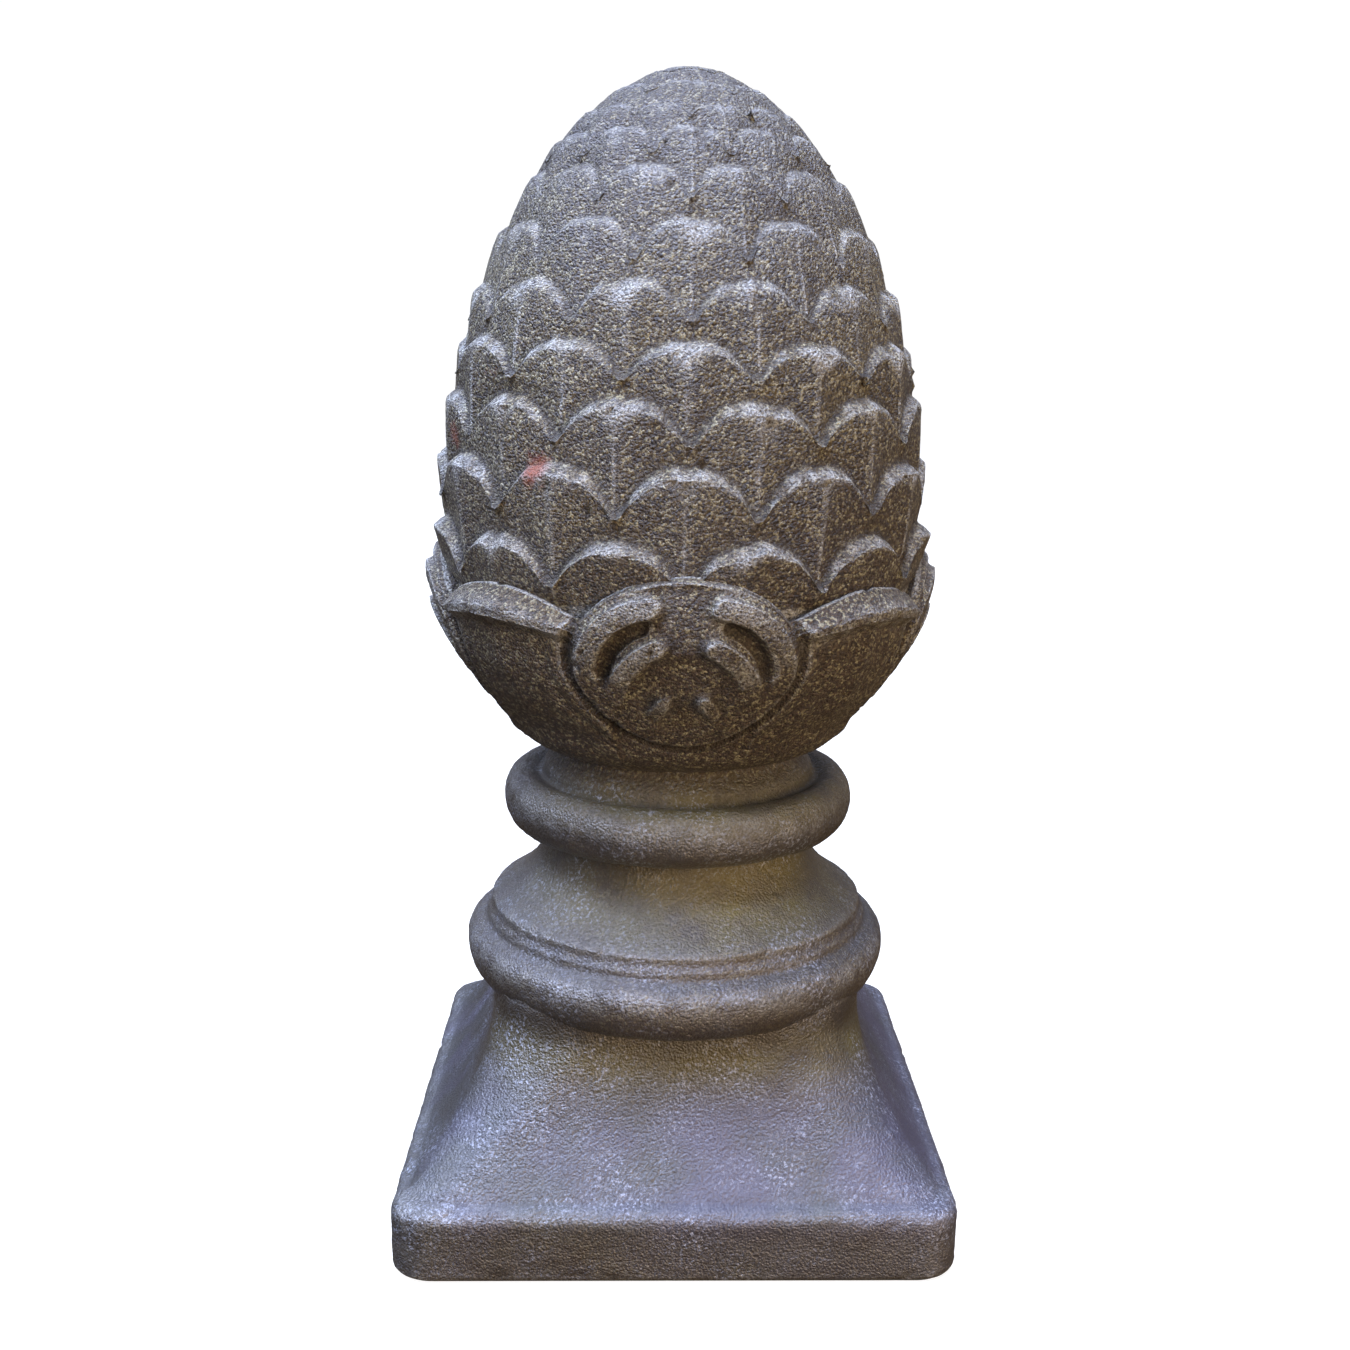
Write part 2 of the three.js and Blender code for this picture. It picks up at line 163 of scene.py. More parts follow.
@dataclass
class Skin:
    """A closed surface laid out as rings of points, with what its makers know of it.

    Attributes:
        radius: distance from the axis, for each ring and column.
        angle: direction of each point, 0 at the front and positive towards +X.
        height: height of each point.
        wear: how far each place stands out to knocks, 0 to 1.
    """

    radius: np.ndarray
    angle: np.ndarray
    height: np.ndarray
    wear: np.ndarray

    def mesh(self, name: str) -> bpy.types.Mesh:
        """Builds the mesh, closed by a point on the axis at both ends.

        Args:
            name: the mesh's name.

        Returns:
            The mesh in metres, with the wear attribute.
        """
        rings, columns = self.radius.shape
        x = self.radius * np.sin(self.angle)
        y = -self.radius * np.cos(self.angle)
        wall = np.stack([x, y, self.height], axis=-1).reshape(-1, 3)
        ends = np.array([[0, 0, self.height[0].mean()], [0, 0, self.height[-1].mean()]])
        points = np.concatenate([wall, ends]) * MM
        first = np.arange(columns)
        after = (first + 1) % columns
        starts = np.arange(rings - 1)[:, None] * columns
        corners = (starts + first, starts + after, starts + columns + after, starts + columns + first)
        quads = np.stack(corners, axis=-1)
        foot, top = rings * columns, rings * columns + 1
        last = (rings - 1) * columns
        fans = [(foot, int(b), int(a)) for a, b in zip(first, after)]
        fans += [(top, int(a) + last, int(b) + last) for a, b in zip(first, after)]
        mesh = bpy.data.meshes.new(name)
        mesh.from_pydata(points.tolist(), [], quads.reshape(-1, 4).tolist() + fans)
        mesh.polygons.foreach_set("use_smooth", [True] * len(mesh.polygons))
        worn = mesh.attributes.new("wear", "FLOAT", "POINT")
        worn.data.foreach_set("value", np.append(self.wear.ravel(), [0.0, 0.0]).astype(np.float32))
        mesh.update()
        return mesh


@dataclass
class SquareBase:
    """Skirt and sweep: a square plinth whose hollow faces rise to a well-rounded neck."""

    side: float = 242.0
    corner: float = 17.0
    skirt: float = 33.0
    edge_round: float = 7.0
    foot_round: float = 4.5
    sweep: float = 59.0
    neck_side: float = 168.0
    neck_corner: float = 50.0
    sweep_hollow: float = 1.9
    hip_hollow: float = 1.6
    overlap: float = 16.0
    columns: int = 384
    gather: float = 0.19

    @property
    def sweep_top(self) -> float:
        """Height at which the sweep ends."""
        return self.skirt + self.sweep

    def sections(self) -> np.ndarray:
        """Lays out the base's upright section.

        Returns:
            Half side, corner radius and height of every ring, from the foot up.
        """
        half = self.side / 2
        turns = np.radians(np.linspace(0, 90, 7))
        rows = []
        for t in turns:
            inset = self.foot_round * (1 - math.sin(t))
            rows.append((half - inset, self.corner, self.foot_round * (1 - math.cos(t))))
        upright = np.linspace(self.foot_round, self.skirt - self.edge_round, 16)
        rows += [(half, self.corner, z) for z in upright[1:]]
        for t in turns[1:]:
            inset = self.edge_round * (1 - math.cos(t))
            rows.append((half - inset, self.corner, self.skirt - self.edge_round * (1 - math.sin(t))))
        root = math.sqrt(2)
        start_half, end_half = half - self.edge_round, self.neck_side / 2
        start_hip = root * start_half - (root - 1) * self.corner
        end_hip = root * end_half - (root - 1) * self.neck_corner
        for rise in np.linspace(0, 1, 52)[1:]:
            side = end_half + (start_half - end_half) * (1 - rise) ** self.sweep_hollow
            hip = end_hip + (start_hip - end_hip) * (1 - rise) ** self.hip_hollow
            corner = min(side, (root * side - hip) / (root - 1))
            rows.append((side, corner, self.skirt + self.sweep * rise))
        inner = np.linspace(0, self.overlap, 8)
        rows += [(end_half, self.neck_corner, self.sweep_top + z) for z in inner[1:]]
        return np.array(rows)

    def skin(self) -> Skin:
        """Lays out the base's surface.

        Returns:
            The surface with its wear.
        """
        rows = self.sections()
        # The underside stays flat: its rings lie between the foot and the axis
        under = [(rows[0][0] * share, self.corner * share, 0.0) for share in (0.5, 0.8, 0.94)]
        rows = np.concatenate([np.array(under), rows])
        half, corner, height = (rows[:, i][:, None] for i in range(3))
        even = np.linspace(0, 2 * math.pi, self.columns, endpoint=False)[None, :]
        angle = even + self.gather * (1 - corner / half) * np.sin(4 * even)
        radius = rounded_square(angle, half, corner)
        edge = hump(height, self.skirt - 1.0, 4.5) + 0.6 * hump(height, 1.5, 3.0)
        hip = np.abs(np.sin(2 * angle)) ** 24
        wear = np.clip(edge * (0.65 + 0.35 * hip) + 0.35 * hip * smooth(self.sweep_top, 45, height), 0, 1)
        return Skin(radius, angle, np.broadcast_to(height, radius.shape), wear)


@dataclass(frozen=True)
class Ring:
    """A moulding that swells round the shaft.

    Attributes:
        outer: its greatest radius.
        tube: half its width.
        belly: height of its lower half.
        brow: height of its upper half.
    """

    outer: float
    tube: float
    belly: float
    brow: float


@dataclass
class TurnedShaft:
    """Lower ring with its bead, waisted drum, upper ring and the collar under the bowl."""

    start: float = 98.5
    lower_ring: Ring = Ring(99.3, 10.3, 17.0, 10.5)
    upper_ring: Ring = Ring(81.7, 10.0, 14.7, 13.0)
    bead: float = 90.3
    bead_tube: float = 2.4
    groove: float = 2.8
    drum_foot: float = 88.8
    foot_step: float = 4.4
    drum: float = 61.0
    drum_height: float = 35.0
    drum_hollow: float = 2.2
    drum_rim: float = 2.5
    collar_rise: float = 9.2
    collar: float = 63.4
    collar_height: float = 14.0
    neck: float = 56.5
    root_deg: float = 130.0
    columns: int = 400
    pitch: float = 1.1

    @property
    def root_share(self) -> float:
        """How far below a ring's middle its root lies, as a share of its belly."""
        return math.sin(math.radians(self.root_deg))

    @property
    def lower_z(self) -> float:
        """Height of the lower ring's middle."""
        return self.start + self.lower_ring.belly * self.root_share

    @property
    def bead_z(self) -> float:
        """Height of the bead."""
        return self.lower_z + self.lower_ring.brow + self.bead_tube

    @property
    def drum_z(self) -> float:
        """Height of the drum's foot."""
        return self.bead_z + self.bead_tube + self.foot_step

    @property
    def upper_z(self) -> float:
        """Height of the upper ring's middle."""
        return self.drum_z + self.drum_height + self.drum_rim + self.upper_ring.belly * self.root_share

    @property
    def collar_z(self) -> float:
        """Height of the groove under the collar."""
        return self.upper_z + self.collar_rise

    @property
    def bowl_z(self) -> float:
        """Height at which the bowl starts."""
        return self.collar_z + self.collar_height

    def ring(self, shape: Ring, z: float, to: float) -> list[tuple[float, float]]:
        """Section of a ring.

        Args:
            shape: the ring.
            z: height of the ring's middle.
            to: angle at which the section ends, in degrees above its widest place.

        Returns:
            Radius and height of the points from the root up.
        """
        points = []
        for turn in np.radians(np.linspace(-self.root_deg, to, 26)):
            tall = shape.belly if turn < 0 else shape.brow
            radius = shape.outer - shape.tube + shape.tube * math.cos(turn)
            points.append((radius, z + tall * math.sin(turn)))
        return points

    def section(self) -> np.ndarray:
        """Lays out the whole turned profile.

        Returns:
            Radius and height of its points, evenly spaced.
        """
        rows = [(self.neck, self.start - 3.0), *self.ring(self.lower_ring, self.lower_z, 82)]
        for t in np.radians(np.linspace(-60, 75, 7)):
            inset, rise = self.bead_tube * (1 - math.cos(t)), self.bead_tube * math.sin(t)
            rows.append((self.bead - inset, self.bead_z + rise))
        valley = self.bead_z + self.bead_tube * 1.4
        rows += [(self.bead - self.groove, valley), (self.bead - self.groove + 0.1, valley + 1.0)]
        rows += [(self.drum_foot - 1.2, self.drum_z - 1.3), (self.drum_foot - 0.5, self.drum_z - 0.2)]
        for rise in np.linspace(0.03, 1, 22):
            flare = (self.drum_foot - self.drum) * (1 - rise) ** self.drum_hollow
            rows.append((self.drum + flare, self.drum_z + self.drum_height * rise))
        rows += self.ring(self.upper_ring, self.upper_z, 118)
        base, tall = self.collar_z, self.collar_height
        rows += [(self.collar + 1.4, base + 0.5), (self.collar + 0.2, base + 1.6)]
        rows += [(self.collar, base + tall * share) for share in (0.25, 0.42)]
        rows += [(self.collar * 0.97, base + tall * 0.60), (self.neck + 2.0, base + tall * 0.78)]
        rows += [(self.neck, base + tall * 0.95), (self.neck, self.bowl_z + 7)]
        chain = chaikin(np.array(rows), 2)
        gaps = np.hypot(*np.diff(chain, axis=0).T)
        length = np.concatenate([[0], np.cumsum(gaps)])
        even = np.linspace(0, length[-1], int(length[-1] / self.pitch))
        rows = np.stack([np.interp(even, length, chain[:, i]) for i in (0, 1)], axis=1)
        # Years of washing have rounded every arris a little
        for _ in range(2):
            rows[1:-1] = (rows[:-2] + rows[1:-1] + rows[2:]) / 3
        return rows

    def skin(self) -> Skin:
        """Lays out the turned surface.

        Returns:
            The surface with its wear.
        """
        rows = self.section()
        angle = np.linspace(0, 2 * math.pi, self.columns, endpoint=False)[None, :]
        shape = (len(rows), self.columns)
        radius = np.broadcast_to(rows[:, 0][:, None], shape)
        height = np.broadcast_to(rows[:, 1][:, None], shape)
        out = hump(height, self.lower_z + 4, 8) * smooth(94, 98, radius)
        out = out + hump(height, self.upper_z + 5, 8) * smooth(76, 80, radius)
        out = out + 0.7 * hump(height, self.drum_z, 2.5) + 0.5 * hump(height, self.bead_z, 2.0)
        return Skin(radius, np.broadcast_to(angle, shape), height, np.clip(out, 0, 1))


@dataclass(frozen=True)
class Frond:
    """One curling frond of a medallion, drawn from its head to its root.

    Attributes:
        line: points of its middle line, across and up from the medallion's middle.
        head: half its width at the head.
        root: half its width at the root.
        proud: how far the head stands out; a hollow has a negative value.
        fade: share of that height that is left at the root.
    """

    line: tuple[tuple[float, float], ...]
    head: float
    root: float
    proud: float
    fade: float

    def height(self, across: np.ndarray, up: np.ndarray) -> np.ndarray:
        """Relief of the frond.

        Args:
            across: distance to the right of the medallion's middle.
            up: distance above it.

        Returns:
            How far the frond raises each place.
        """
        knots = chaikin(np.array(self.line, float), 3)
        best = np.full(across.shape, 1e9)
        share = np.zeros(across.shape)
        for i in range(len(knots) - 1):
            (x0, y0), (x1, y1) = knots[i], knots[i + 1]
            dx, dy = x1 - x0, y1 - y0
            t = np.clip(((across - x0) * dx + (up - y0) * dy) / (dx * dx + dy * dy), 0, 1)
            far = np.hypot(across - x0 - t * dx, up - y0 - t * dy)
            nearer = far < best
            best = np.where(nearer, far, best)
            share = np.where(nearer, (i + t) / (len(knots) - 1), share)
        width = self.head + (self.root - self.head) * share
        section = 1 - smooth(0.68, 1.08, best / width)
        rounded = 0.86 + 0.14 * (1 - np.clip(best / width, 0, 1) ** 2)
        return self.proud * (1 - (1 - self.fade) * share) * section * rounded


@dataclass
class Medallion:
    """Oval shield with three pairs of fronds, one on each side of the calyx."""

    width: float = 98.0
    height: float = 76.0
    proud: float = 2.6
    edge: float = 1.6
    fronds: tuple[Frond, ...] = (
        Frond(
            ((14, 26), (23, 23.5), (32, 17.5), (39.5, 7), (42, -5), (40, -17), (33, -27)), 6.0, 7.2, 3.9, 0.15
        ),
        Frond(((11.5, 9.5), (16.5, 6.5), (23, 0.5), (28, -7.5), (30, -13)), 5.5, 6.0, 4.4, 0.35),
        Frond(((8.8, -15.0), (11.0, -17.5), (13.5, -21)), 4.4, 4.2, 3.6, 0.45),
    )
    hollows: tuple[Frond, ...] = (
        Frond(((17.0, 17.5), (24, 14), (31, 7.0), (34.5, -1.5)), 2.7, 3.2, -3.2, 1.1),
    )

    def signed(self, across: np.ndarray, up: np.ndarray) -> np.ndarray:
        """Rough distance to the oval's outline.

        Args:
            across: distance to the right of the medallion's middle.
            up: distance above it.

        Returns:
            The distance, negative inside.
        """
        a, b = self.width / 2, self.height / 2
        ratio = np.hypot(across / a, up / b)
        slope = np.hypot(across / a**2, up / b**2) / np.maximum(ratio, 1e-6)
        return (ratio - 1) / np.maximum(slope, 1e-6)

    def relief(self, across: np.ndarray, up: np.ndarray) -> np.ndarray:
        """Relief of the rim, fronds and hollows together.

        Args:
            across: distance to the right of the medallion's middle.
            up: distance above it.

        Returns:
            How far the medallion stands out at each place.
        """
        out = self.signed(across, up)
        inside = 1 - smooth(-self.edge, 0.6, out)
        side = np.abs(across)
        raised = np.zeros(across.shape)
        for frond in self.fronds:
            raised = np.maximum(raised, frond.height(side, up))
        dish = np.hypot(side / 21.5, (up + 12.5) / 19.5)
        sunk = -1.3 * (1 - smooth(0.76, 1.04, dish)) - 0.5 * hump(np.hypot(side, up + 26), 0, 7)
        for hollow in self.hollows:
            sunk = np.minimum(sunk, hollow.height(side, up))
        lip = 0.9 * hump(out, -2.4, 1.5) * smooth(10, 28, up) * (1 - smooth(16, 22, side) * 0.8)
        return inside * (self.proud + raised + sunk * (1 - 0.7 * smooth(0.5, 2.0, raised)) + lip)

    def wear(self, across: np.ndarray, up: np.ndarray) -> np.ndarray:
        """Wear of the heads of the fronds and of the rim.

        Args:
            across: distance to the right of the medallion's middle.
            up: distance above it.

        Returns:
            How much each place is rubbed, 0 to 1.
        """
        side = np.abs(across)
        heads = hump(np.hypot(side - 15, up - 25.5), 0, 8) + hump(np.hypot(side - 13.5, up - 8.5), 0, 6)
        heads = heads + 1.2 * hump(np.hypot(side - 9.5, up + 15.5), 0, 5)
        for frond in self.fronds:
            heads = np.maximum(heads, smooth(1.4, 2.8, frond.height(side, up)))
        return np.clip(heads + 0.3 * hump(self.signed(across, up), -2, 1.6) * smooth(5, 25, up), 0, 1)


@dataclass
class Calyx:
    """Bowl under the cone: four medallions and, between them, four leaves with rolled lips."""

    z: float
    cone_radius: float = 111.0
    height: float = 99.0
    neck: float = 56.5
    drop: float = 43.0
    leaf_span: float = 49.0
    leaf_drop: float = 13.0
    leaf_arch: float = 13.5
    leaf_reach: float = 8.6
    columns: int = 512
    rings: int = 178
    medallion: Medallion = field(default_factory=Medallion)
    curve: tuple[tuple[float, float], ...] = (
        (0.63, 0.045), (0.69, 0.105), (0.737, 0.2), (0.805, 0.3), (0.865, 0.41),
        (0.923, 0.53), (0.964, 0.66), (0.983, 0.8), (0.982, 0.9), (0.962, 1.0),
    )

    @property
    def top(self) -> float:
        """Height of the bowl's rim, where the cone starts."""
        return self.z + self.height

    def body(self, height: np.ndarray) -> np.ndarray:
        """Radius of the plain bowl.

        Args:
            height: the height above the ground.

        Returns:
            The radius there.
        """
        shares = np.array([[self.neck / self.cone_radius, 0.0], *self.curve])
        chain = chaikin(shares, 3)
        return np.interp((height - self.z) / self.height, chain[:, 1], chain[:, 0]) * self.cone_radius

    def leaf_top(self, turn: np.ndarray) -> np.ndarray:
        """Height of the leaf's lip over its span, for a turn of -1 to 1 from its middle."""
        return self.top - self.leaf_drop - self.leaf_arch * np.abs(turn) ** 1.9

    def leaf(self, turn: np.ndarray, under: np.ndarray, beside: np.ndarray) -> np.ndarray:
        """Relief of a leaf.

        Args:
            turn: place across the leaf, -1 to 1.
            under: distance below the top of its lip.
            beside: distance from the medallion's outline.

        Returns:
            How far the leaf stands out of the bowl.
        """
        fade = np.clip(1 - turn**2, 0, 1)
        reach = 3.0 + (self.leaf_reach - 3.0) * fade**0.7
        stretch = 0.5 + 0.5 * fade
        knots = [-1.0, 0.4, 7.6, 9.4, 13.5, 15.5, 18.0, 25.0, 34.0, 50.0, 66.0]
        share = [0.0, 0.08, 0.95, 1.0, 0.95, 0.55, 0.24, 0.16, 0.18, 0.14, 0.0]
        base = [0.2, 0.0, 0.0, 0.0, 0.0, 0.2, 0.6, 1.6, 1.9, 1.7, 0.0]
        below = 20 + (under - 20 * stretch) * 46 / (66 - 20 * stretch)
        along = np.where(under < 20 * stretch, under / stretch, below)
        out = np.interp(along, knots, share) * reach + np.interp(along, knots, base)
        low = smooth(17, 24, under)
        band = 0.4 * smooth(1.6, 3.6, beside) * (1 - smooth(6.5, 10.5, beside))
        lines = -0.5 * hump(beside, 11.0, 2.0) + 0.4 * hump(beside, 16.0, 3.0)
        keel = 1.0 * np.clip(1 - np.abs(turn) / 0.2, 0, 1)
        tail = 1 - smooth(54, 66, under)
        return out + low * tail * (band + lines + keel)

    def skin(self) -> Skin:
        """Lays out the bowl, medallions, leaves and the groove round each medallion.

        Returns:
            The surface with its wear.
        """
        angle = np.linspace(0, 2 * math.pi, self.columns, endpoint=False)[None, :]
        quarter = math.pi / 2
        front = (angle + quarter / 2) % quarter - quarter / 2
        middle = self.top - self.drop
        arc = 0.965 * self.cone_radius
        across = front * arc
        turn = (quarter / 2 - np.abs(front)) / math.radians(self.leaf_span / 2)
        half_w, half_h = self.medallion.width / 2, self.medallion.height / 2
        oval = middle + half_h * np.sqrt(np.clip(1 - (across / half_w) ** 2, 0, 1))
        oval = np.where(np.abs(across) < half_w, oval, -1e3)
        leaf = np.where(turn <= 1.0, self.leaf_top(np.clip(turn, 0, 1)), self.leaf_top(np.array(1.0)) - 6)
        rim = np.maximum(oval, leaf)
        # Heights gather near the rim, where the lip and the fronds need them
        share = np.linspace(0, 1, self.rings)[:, None]
        height = self.z - 1.0 + (rim - self.z + 1.0) * share
        plain = self.body(height)
        up = height - middle
        beside = self.medallion.signed(across, up)
        shield = self.medallion.relief(across, up)
        leafed = self.leaf(np.clip(turn, 0, 1.0), leaf - height, beside)
        leafed = leafed * (1 - smooth(1.0, 1.1, turn))
        outside = smooth(-0.4, 0.8, beside)
        groove = -2.6 * hump(beside, 1.1, 1.0)
        radius = plain + (shield + outside * (leafed + groove)) * smooth(self.z + 3, self.z + 14, height)
        lip = hump(leaf - height, 11.5, 5.0) * outside
        wear = np.clip(self.medallion.wear(across, up) * (1 - outside) + 1.3 * lip, 0, 1)
        # Over the rim the surface turns inwards and down inside the cone
        rows_r, rows_z, rows_w = [radius], [height], [wear]
        for inset, drop in ((0.8, -0.5), (2.2, -0.7), (5.0, 0.0), (14.0, 4.0), (60.0, 8.0)):
            rows_r.append(radius[-1:] - inset)
            rows_z.append(height[-1:] - drop)
            rows_w.append(wear[-1:] * 0)
        shape = (self.rings + 5, self.columns)
        radius, height, wear = (np.concatenate(rows) for rows in (rows_r, rows_z, rows_w))
        return Skin(radius, np.broadcast_to(angle, shape), height, wear)


@dataclass
class ScaleRow:
    """One row of scales round the cone.

    Attributes:
        level: the tips' place, as a share of the cone's height.
        drop: how far the arched edge falls from tip to valley, as the same share.
        count: how many scales stand in the row.
        shift: 1 where the front has a valley and 0 where it has a tip.
        square: how steep the arch's sides are; a higher value gives a flatter tip.
        rise: height of the shoulder over the edge.
    """

    level: float
    drop: float
    count: int
    shift: int
    square: float
    rise: float

    # Place across a scale where its arch runs into the blunt valley, and the share of the curve used
    BLUNT = 0.93
    CURVE = 0.965

    def across(self, angle: np.ndarray) -> np.ndarray:
        """Place across a scale, 0 on its keel and 1 or -1 in the valleys beside it."""
        turn = angle * self.count / math.pi - self.shift
        return turn - 2 * np.round(turn / 2)

    def number(self, angle: np.ndarray) -> np.ndarray:
        """Which scale of the row a direction belongs to."""
        turn = angle * self.count / math.pi - self.shift
        return np.round(turn / 2).astype(int) % self.count

    def edge(self, across: np.ndarray) -> np.ndarray:
        """Height of the arched edge.

        Args:
            across: place across a scale, -1 to 1.

        Returns:
            The edge's place, as a share of the cone's height.
        """
        place = self.CURVE * np.minimum(np.abs(across), self.BLUNT)
        full = 1 - math.sqrt(1 - (self.CURVE * self.BLUNT) ** self.square)
        return self.level - self.drop * (1 - np.sqrt(1 - place**self.square)) / full


@dataclass
class Cone:
    """The pinecone's body: rows of arched scales, each with a lit shoulder and a keel."""

    z: float
    height: float = 198.5
    radius: float = 111.0
    fullness: float = 0.57
    levels: tuple[float, ...] = (0.043, 0.189, 0.317, 0.428, 0.539, 0.662, 0.768, 0.846, 0.897)
    crown: float = 0.953
    bud: float = 0.984
    crown_count: int = 6
    per_row: int = 12
    tip_share: float = 0.6
    shoulder: float = 5.0
    rise: float = 4.4
    sink: float = 2.4
    bulge: float = 0.9
    keel: float = 2.2
    columns: int = 480
    seed: int = 11

    # Rise over which a shoulder may go as deep as the cone closes in, in drops of its arch
    STEP = 1.2

    # Most that a shoulder may rise, as a share of the room between two rows
    CROWDED = 0.26

    # Up a face: place, share of the swell, share of the keel and wear at the tip
    FACE = ((0.1, 0.2, 0.0, 0.0), (0.34, 0.8, 0.1, 0.0), (0.62, 0.9, 0.4, 0.0), (0.85, 0.4, 0.85, 0.2))

    def envelope(self, level: np.ndarray) -> np.ndarray:
        """Radius that the scales reach at a share of the cone's height."""
        return self.radius * (1 - np.clip(level, 0, 1) ** 2) ** self.fullness

    def rows(self) -> list[ScaleRow]:
        """Sizes the rows.

        Returns:
            The rows from the calyx to the crown.
        """
        levels = [*self.levels, self.crown]
        made = []
        for i, level in enumerate(levels):
            spacing = levels[1] - levels[0] if i == 0 else level - levels[i - 1]
            count = self.crown_count if i == len(self.levels) else self.per_row
            square = 2.1 + 0.9 * smooth(2.5, 5.5, np.array(float(i)))
            # Near the top the rows crowd, so their arches are flatter and their shoulders lower
            share = self.tip_share - 0.14 * smooth(0.09, 0.05, np.array(spacing))
            rise = min(self.rise, self.CROWDED * spacing * self.height)
            made.append(ScaleRow(level, float(share * spacing), count, (i + 1) % 2, float(square), rise))
        made.append(ScaleRow(self.bud, 0.3 * (self.bud - self.crown), self.crown_count, 0, 2.2, 0.9))
        return made

    def skin(self) -> Skin:
        """Lays out the cone: for each row the face, the edge and the shoulder behind it.

        Returns:
            The surface with its wear.
        """
        angle = np.linspace(0, 2 * math.pi, self.columns, endpoint=False)
        random = np.random.default_rng(self.seed)
        rows = self.rows()
        start_r = np.full(self.columns, self.radius * 0.92)
        burr = np.random.default_rng(self.seed + 1)
        chain = [(start_r - 8, np.full(self.columns, self.z - 34.0), 0 * angle)]
        chain.append((start_r, np.full(self.columns, self.z - 30.0), 0 * angle))
        inner_r, inner_z = np.full(self.columns, self.radius * 0.945), np.full(self.columns, self.z - 20.0)
        for row in rows:
            across = row.across(angle)
            which = row.number(angle)
            size = 0.45 + 0.55 * self.envelope(np.array(row.level)) / self.radius
            wobble = sum(
                random.normal(0, 0.13) * np.sin(turns * angle + random.uniform(0, 2 * math.pi))
                for turns in range(25, 80, 7)
            )
            keel = self.keel * random.uniform(0.1, 1.0, row.count)[which]
            chipped = np.clip(random.uniform(-0.6, 1.0, row.count), 0, 1)[which]
            chip = 1.3 * chipped * hump(across, random.uniform(-0.3, 0.3, row.count)[which], 0.17) * size
            lift = random.normal(0, 0.5, row.count)[which] * size
            lean = random.normal(0, 0.35, row.count)[which] * size
            level = row.edge(across)
            top_z = self.z + self.height * level + lift * (1 - np.abs(across)) + wobble * size**2
            top_z = top_z - 1.3 * chip
            rise = row.rise * size * (1 - 0.25 * across**2)
            out = self.envelope(level - rise / self.height) - self.sink * size * across**2 + lean
            fall = self.envelope(level) - self.envelope(np.minimum(level + self.STEP * row.drop, 0.985))
            deep = self.shoulder * size * (1 - 0.5 * across**4)
            width = np.maximum(deep, 0.5 * fall * (1 - 0.75 * across**2))
            # Stone that squeezed into the mould's corners left a knob in many valleys
            valley = np.floor(angle * row.count / (2 * math.pi) + 0.5 * row.shift).astype(int) % row.count
            lowest = -0.8 if row.level > 0.75 else 0.0
            burrs = np.clip(burr.uniform(-0.8, 1.0, row.count)[valley], lowest, 1)
            knob = 2.6 * size * burrs * hump(np.abs(across), 1.0, 0.1)
            edge_z = top_z - rise
            swell = self.bulge * (1 - across**2) * size
            ridge = keel * np.clip(1.1 - np.sqrt((across / 0.62) ** 2 + 0.01), 0, 1) * size
            tip = hump(across, 0, 0.26)
            for share, full, keeled, worn in self.FACE:
                face_r = inner_r + (out - inner_r) * share + swell * full + ridge * keeled
                face_z = inner_z + (edge_z - inner_z) * share
                chain.append((face_r, face_z, worn * tip))
            arch = 0.8 - 0.6 * smooth(0.6, 0.95, np.abs(across))
            rough = knob - 1.7 * chip
            brim, crest = 0.3 + 0.6 * tip + 1.2 * chip, 0.5 + 0.5 * tip + 1.2 * chip
            back = 0.85 + 0.15 * tip
            chain += [
                (out + ridge * 0.9 + rough * 0.6, edge_z - 0.9 * size, brim * arch),
                (out + ridge * 0.85 - width * 0.08 + rough, edge_z + 0.1, crest * arch),
                (out + ridge * 0.5 - width * 0.48 + 0.5 * rough, edge_z + rise * 0.52, back * arch),
                (out - width * 0.88, edge_z + rise * 0.9, 0.7 * arch),
                (out - width, top_z, 0.2 * arch),
            ]
            inner_r, inner_z = out - width, top_z + 0.8 * size
        peak = self.z + self.height
        for share, level in ((0.42, 0.990), (0.24, 0.996), (0.08, 0.9995)):
            flat = np.full(self.columns, self.envelope(np.array(0.955)) * share)
            level_z = np.full(self.columns, self.z + self.height * level)
            chain.append((np.minimum(flat, inner_r * 0.9), level_z, 0.3 + 0 * angle))
        chain.append((np.full(self.columns, 0.4), np.full(self.columns, peak), 0.3 + 0 * angle))
        points = chaikin(np.array(chain), 1)
        shape = (len(points), self.columns)
        return Skin(points[:, 0], np.broadcast_to(angle, shape), points[:, 1], np.clip(points[:, 2], 0, 1))


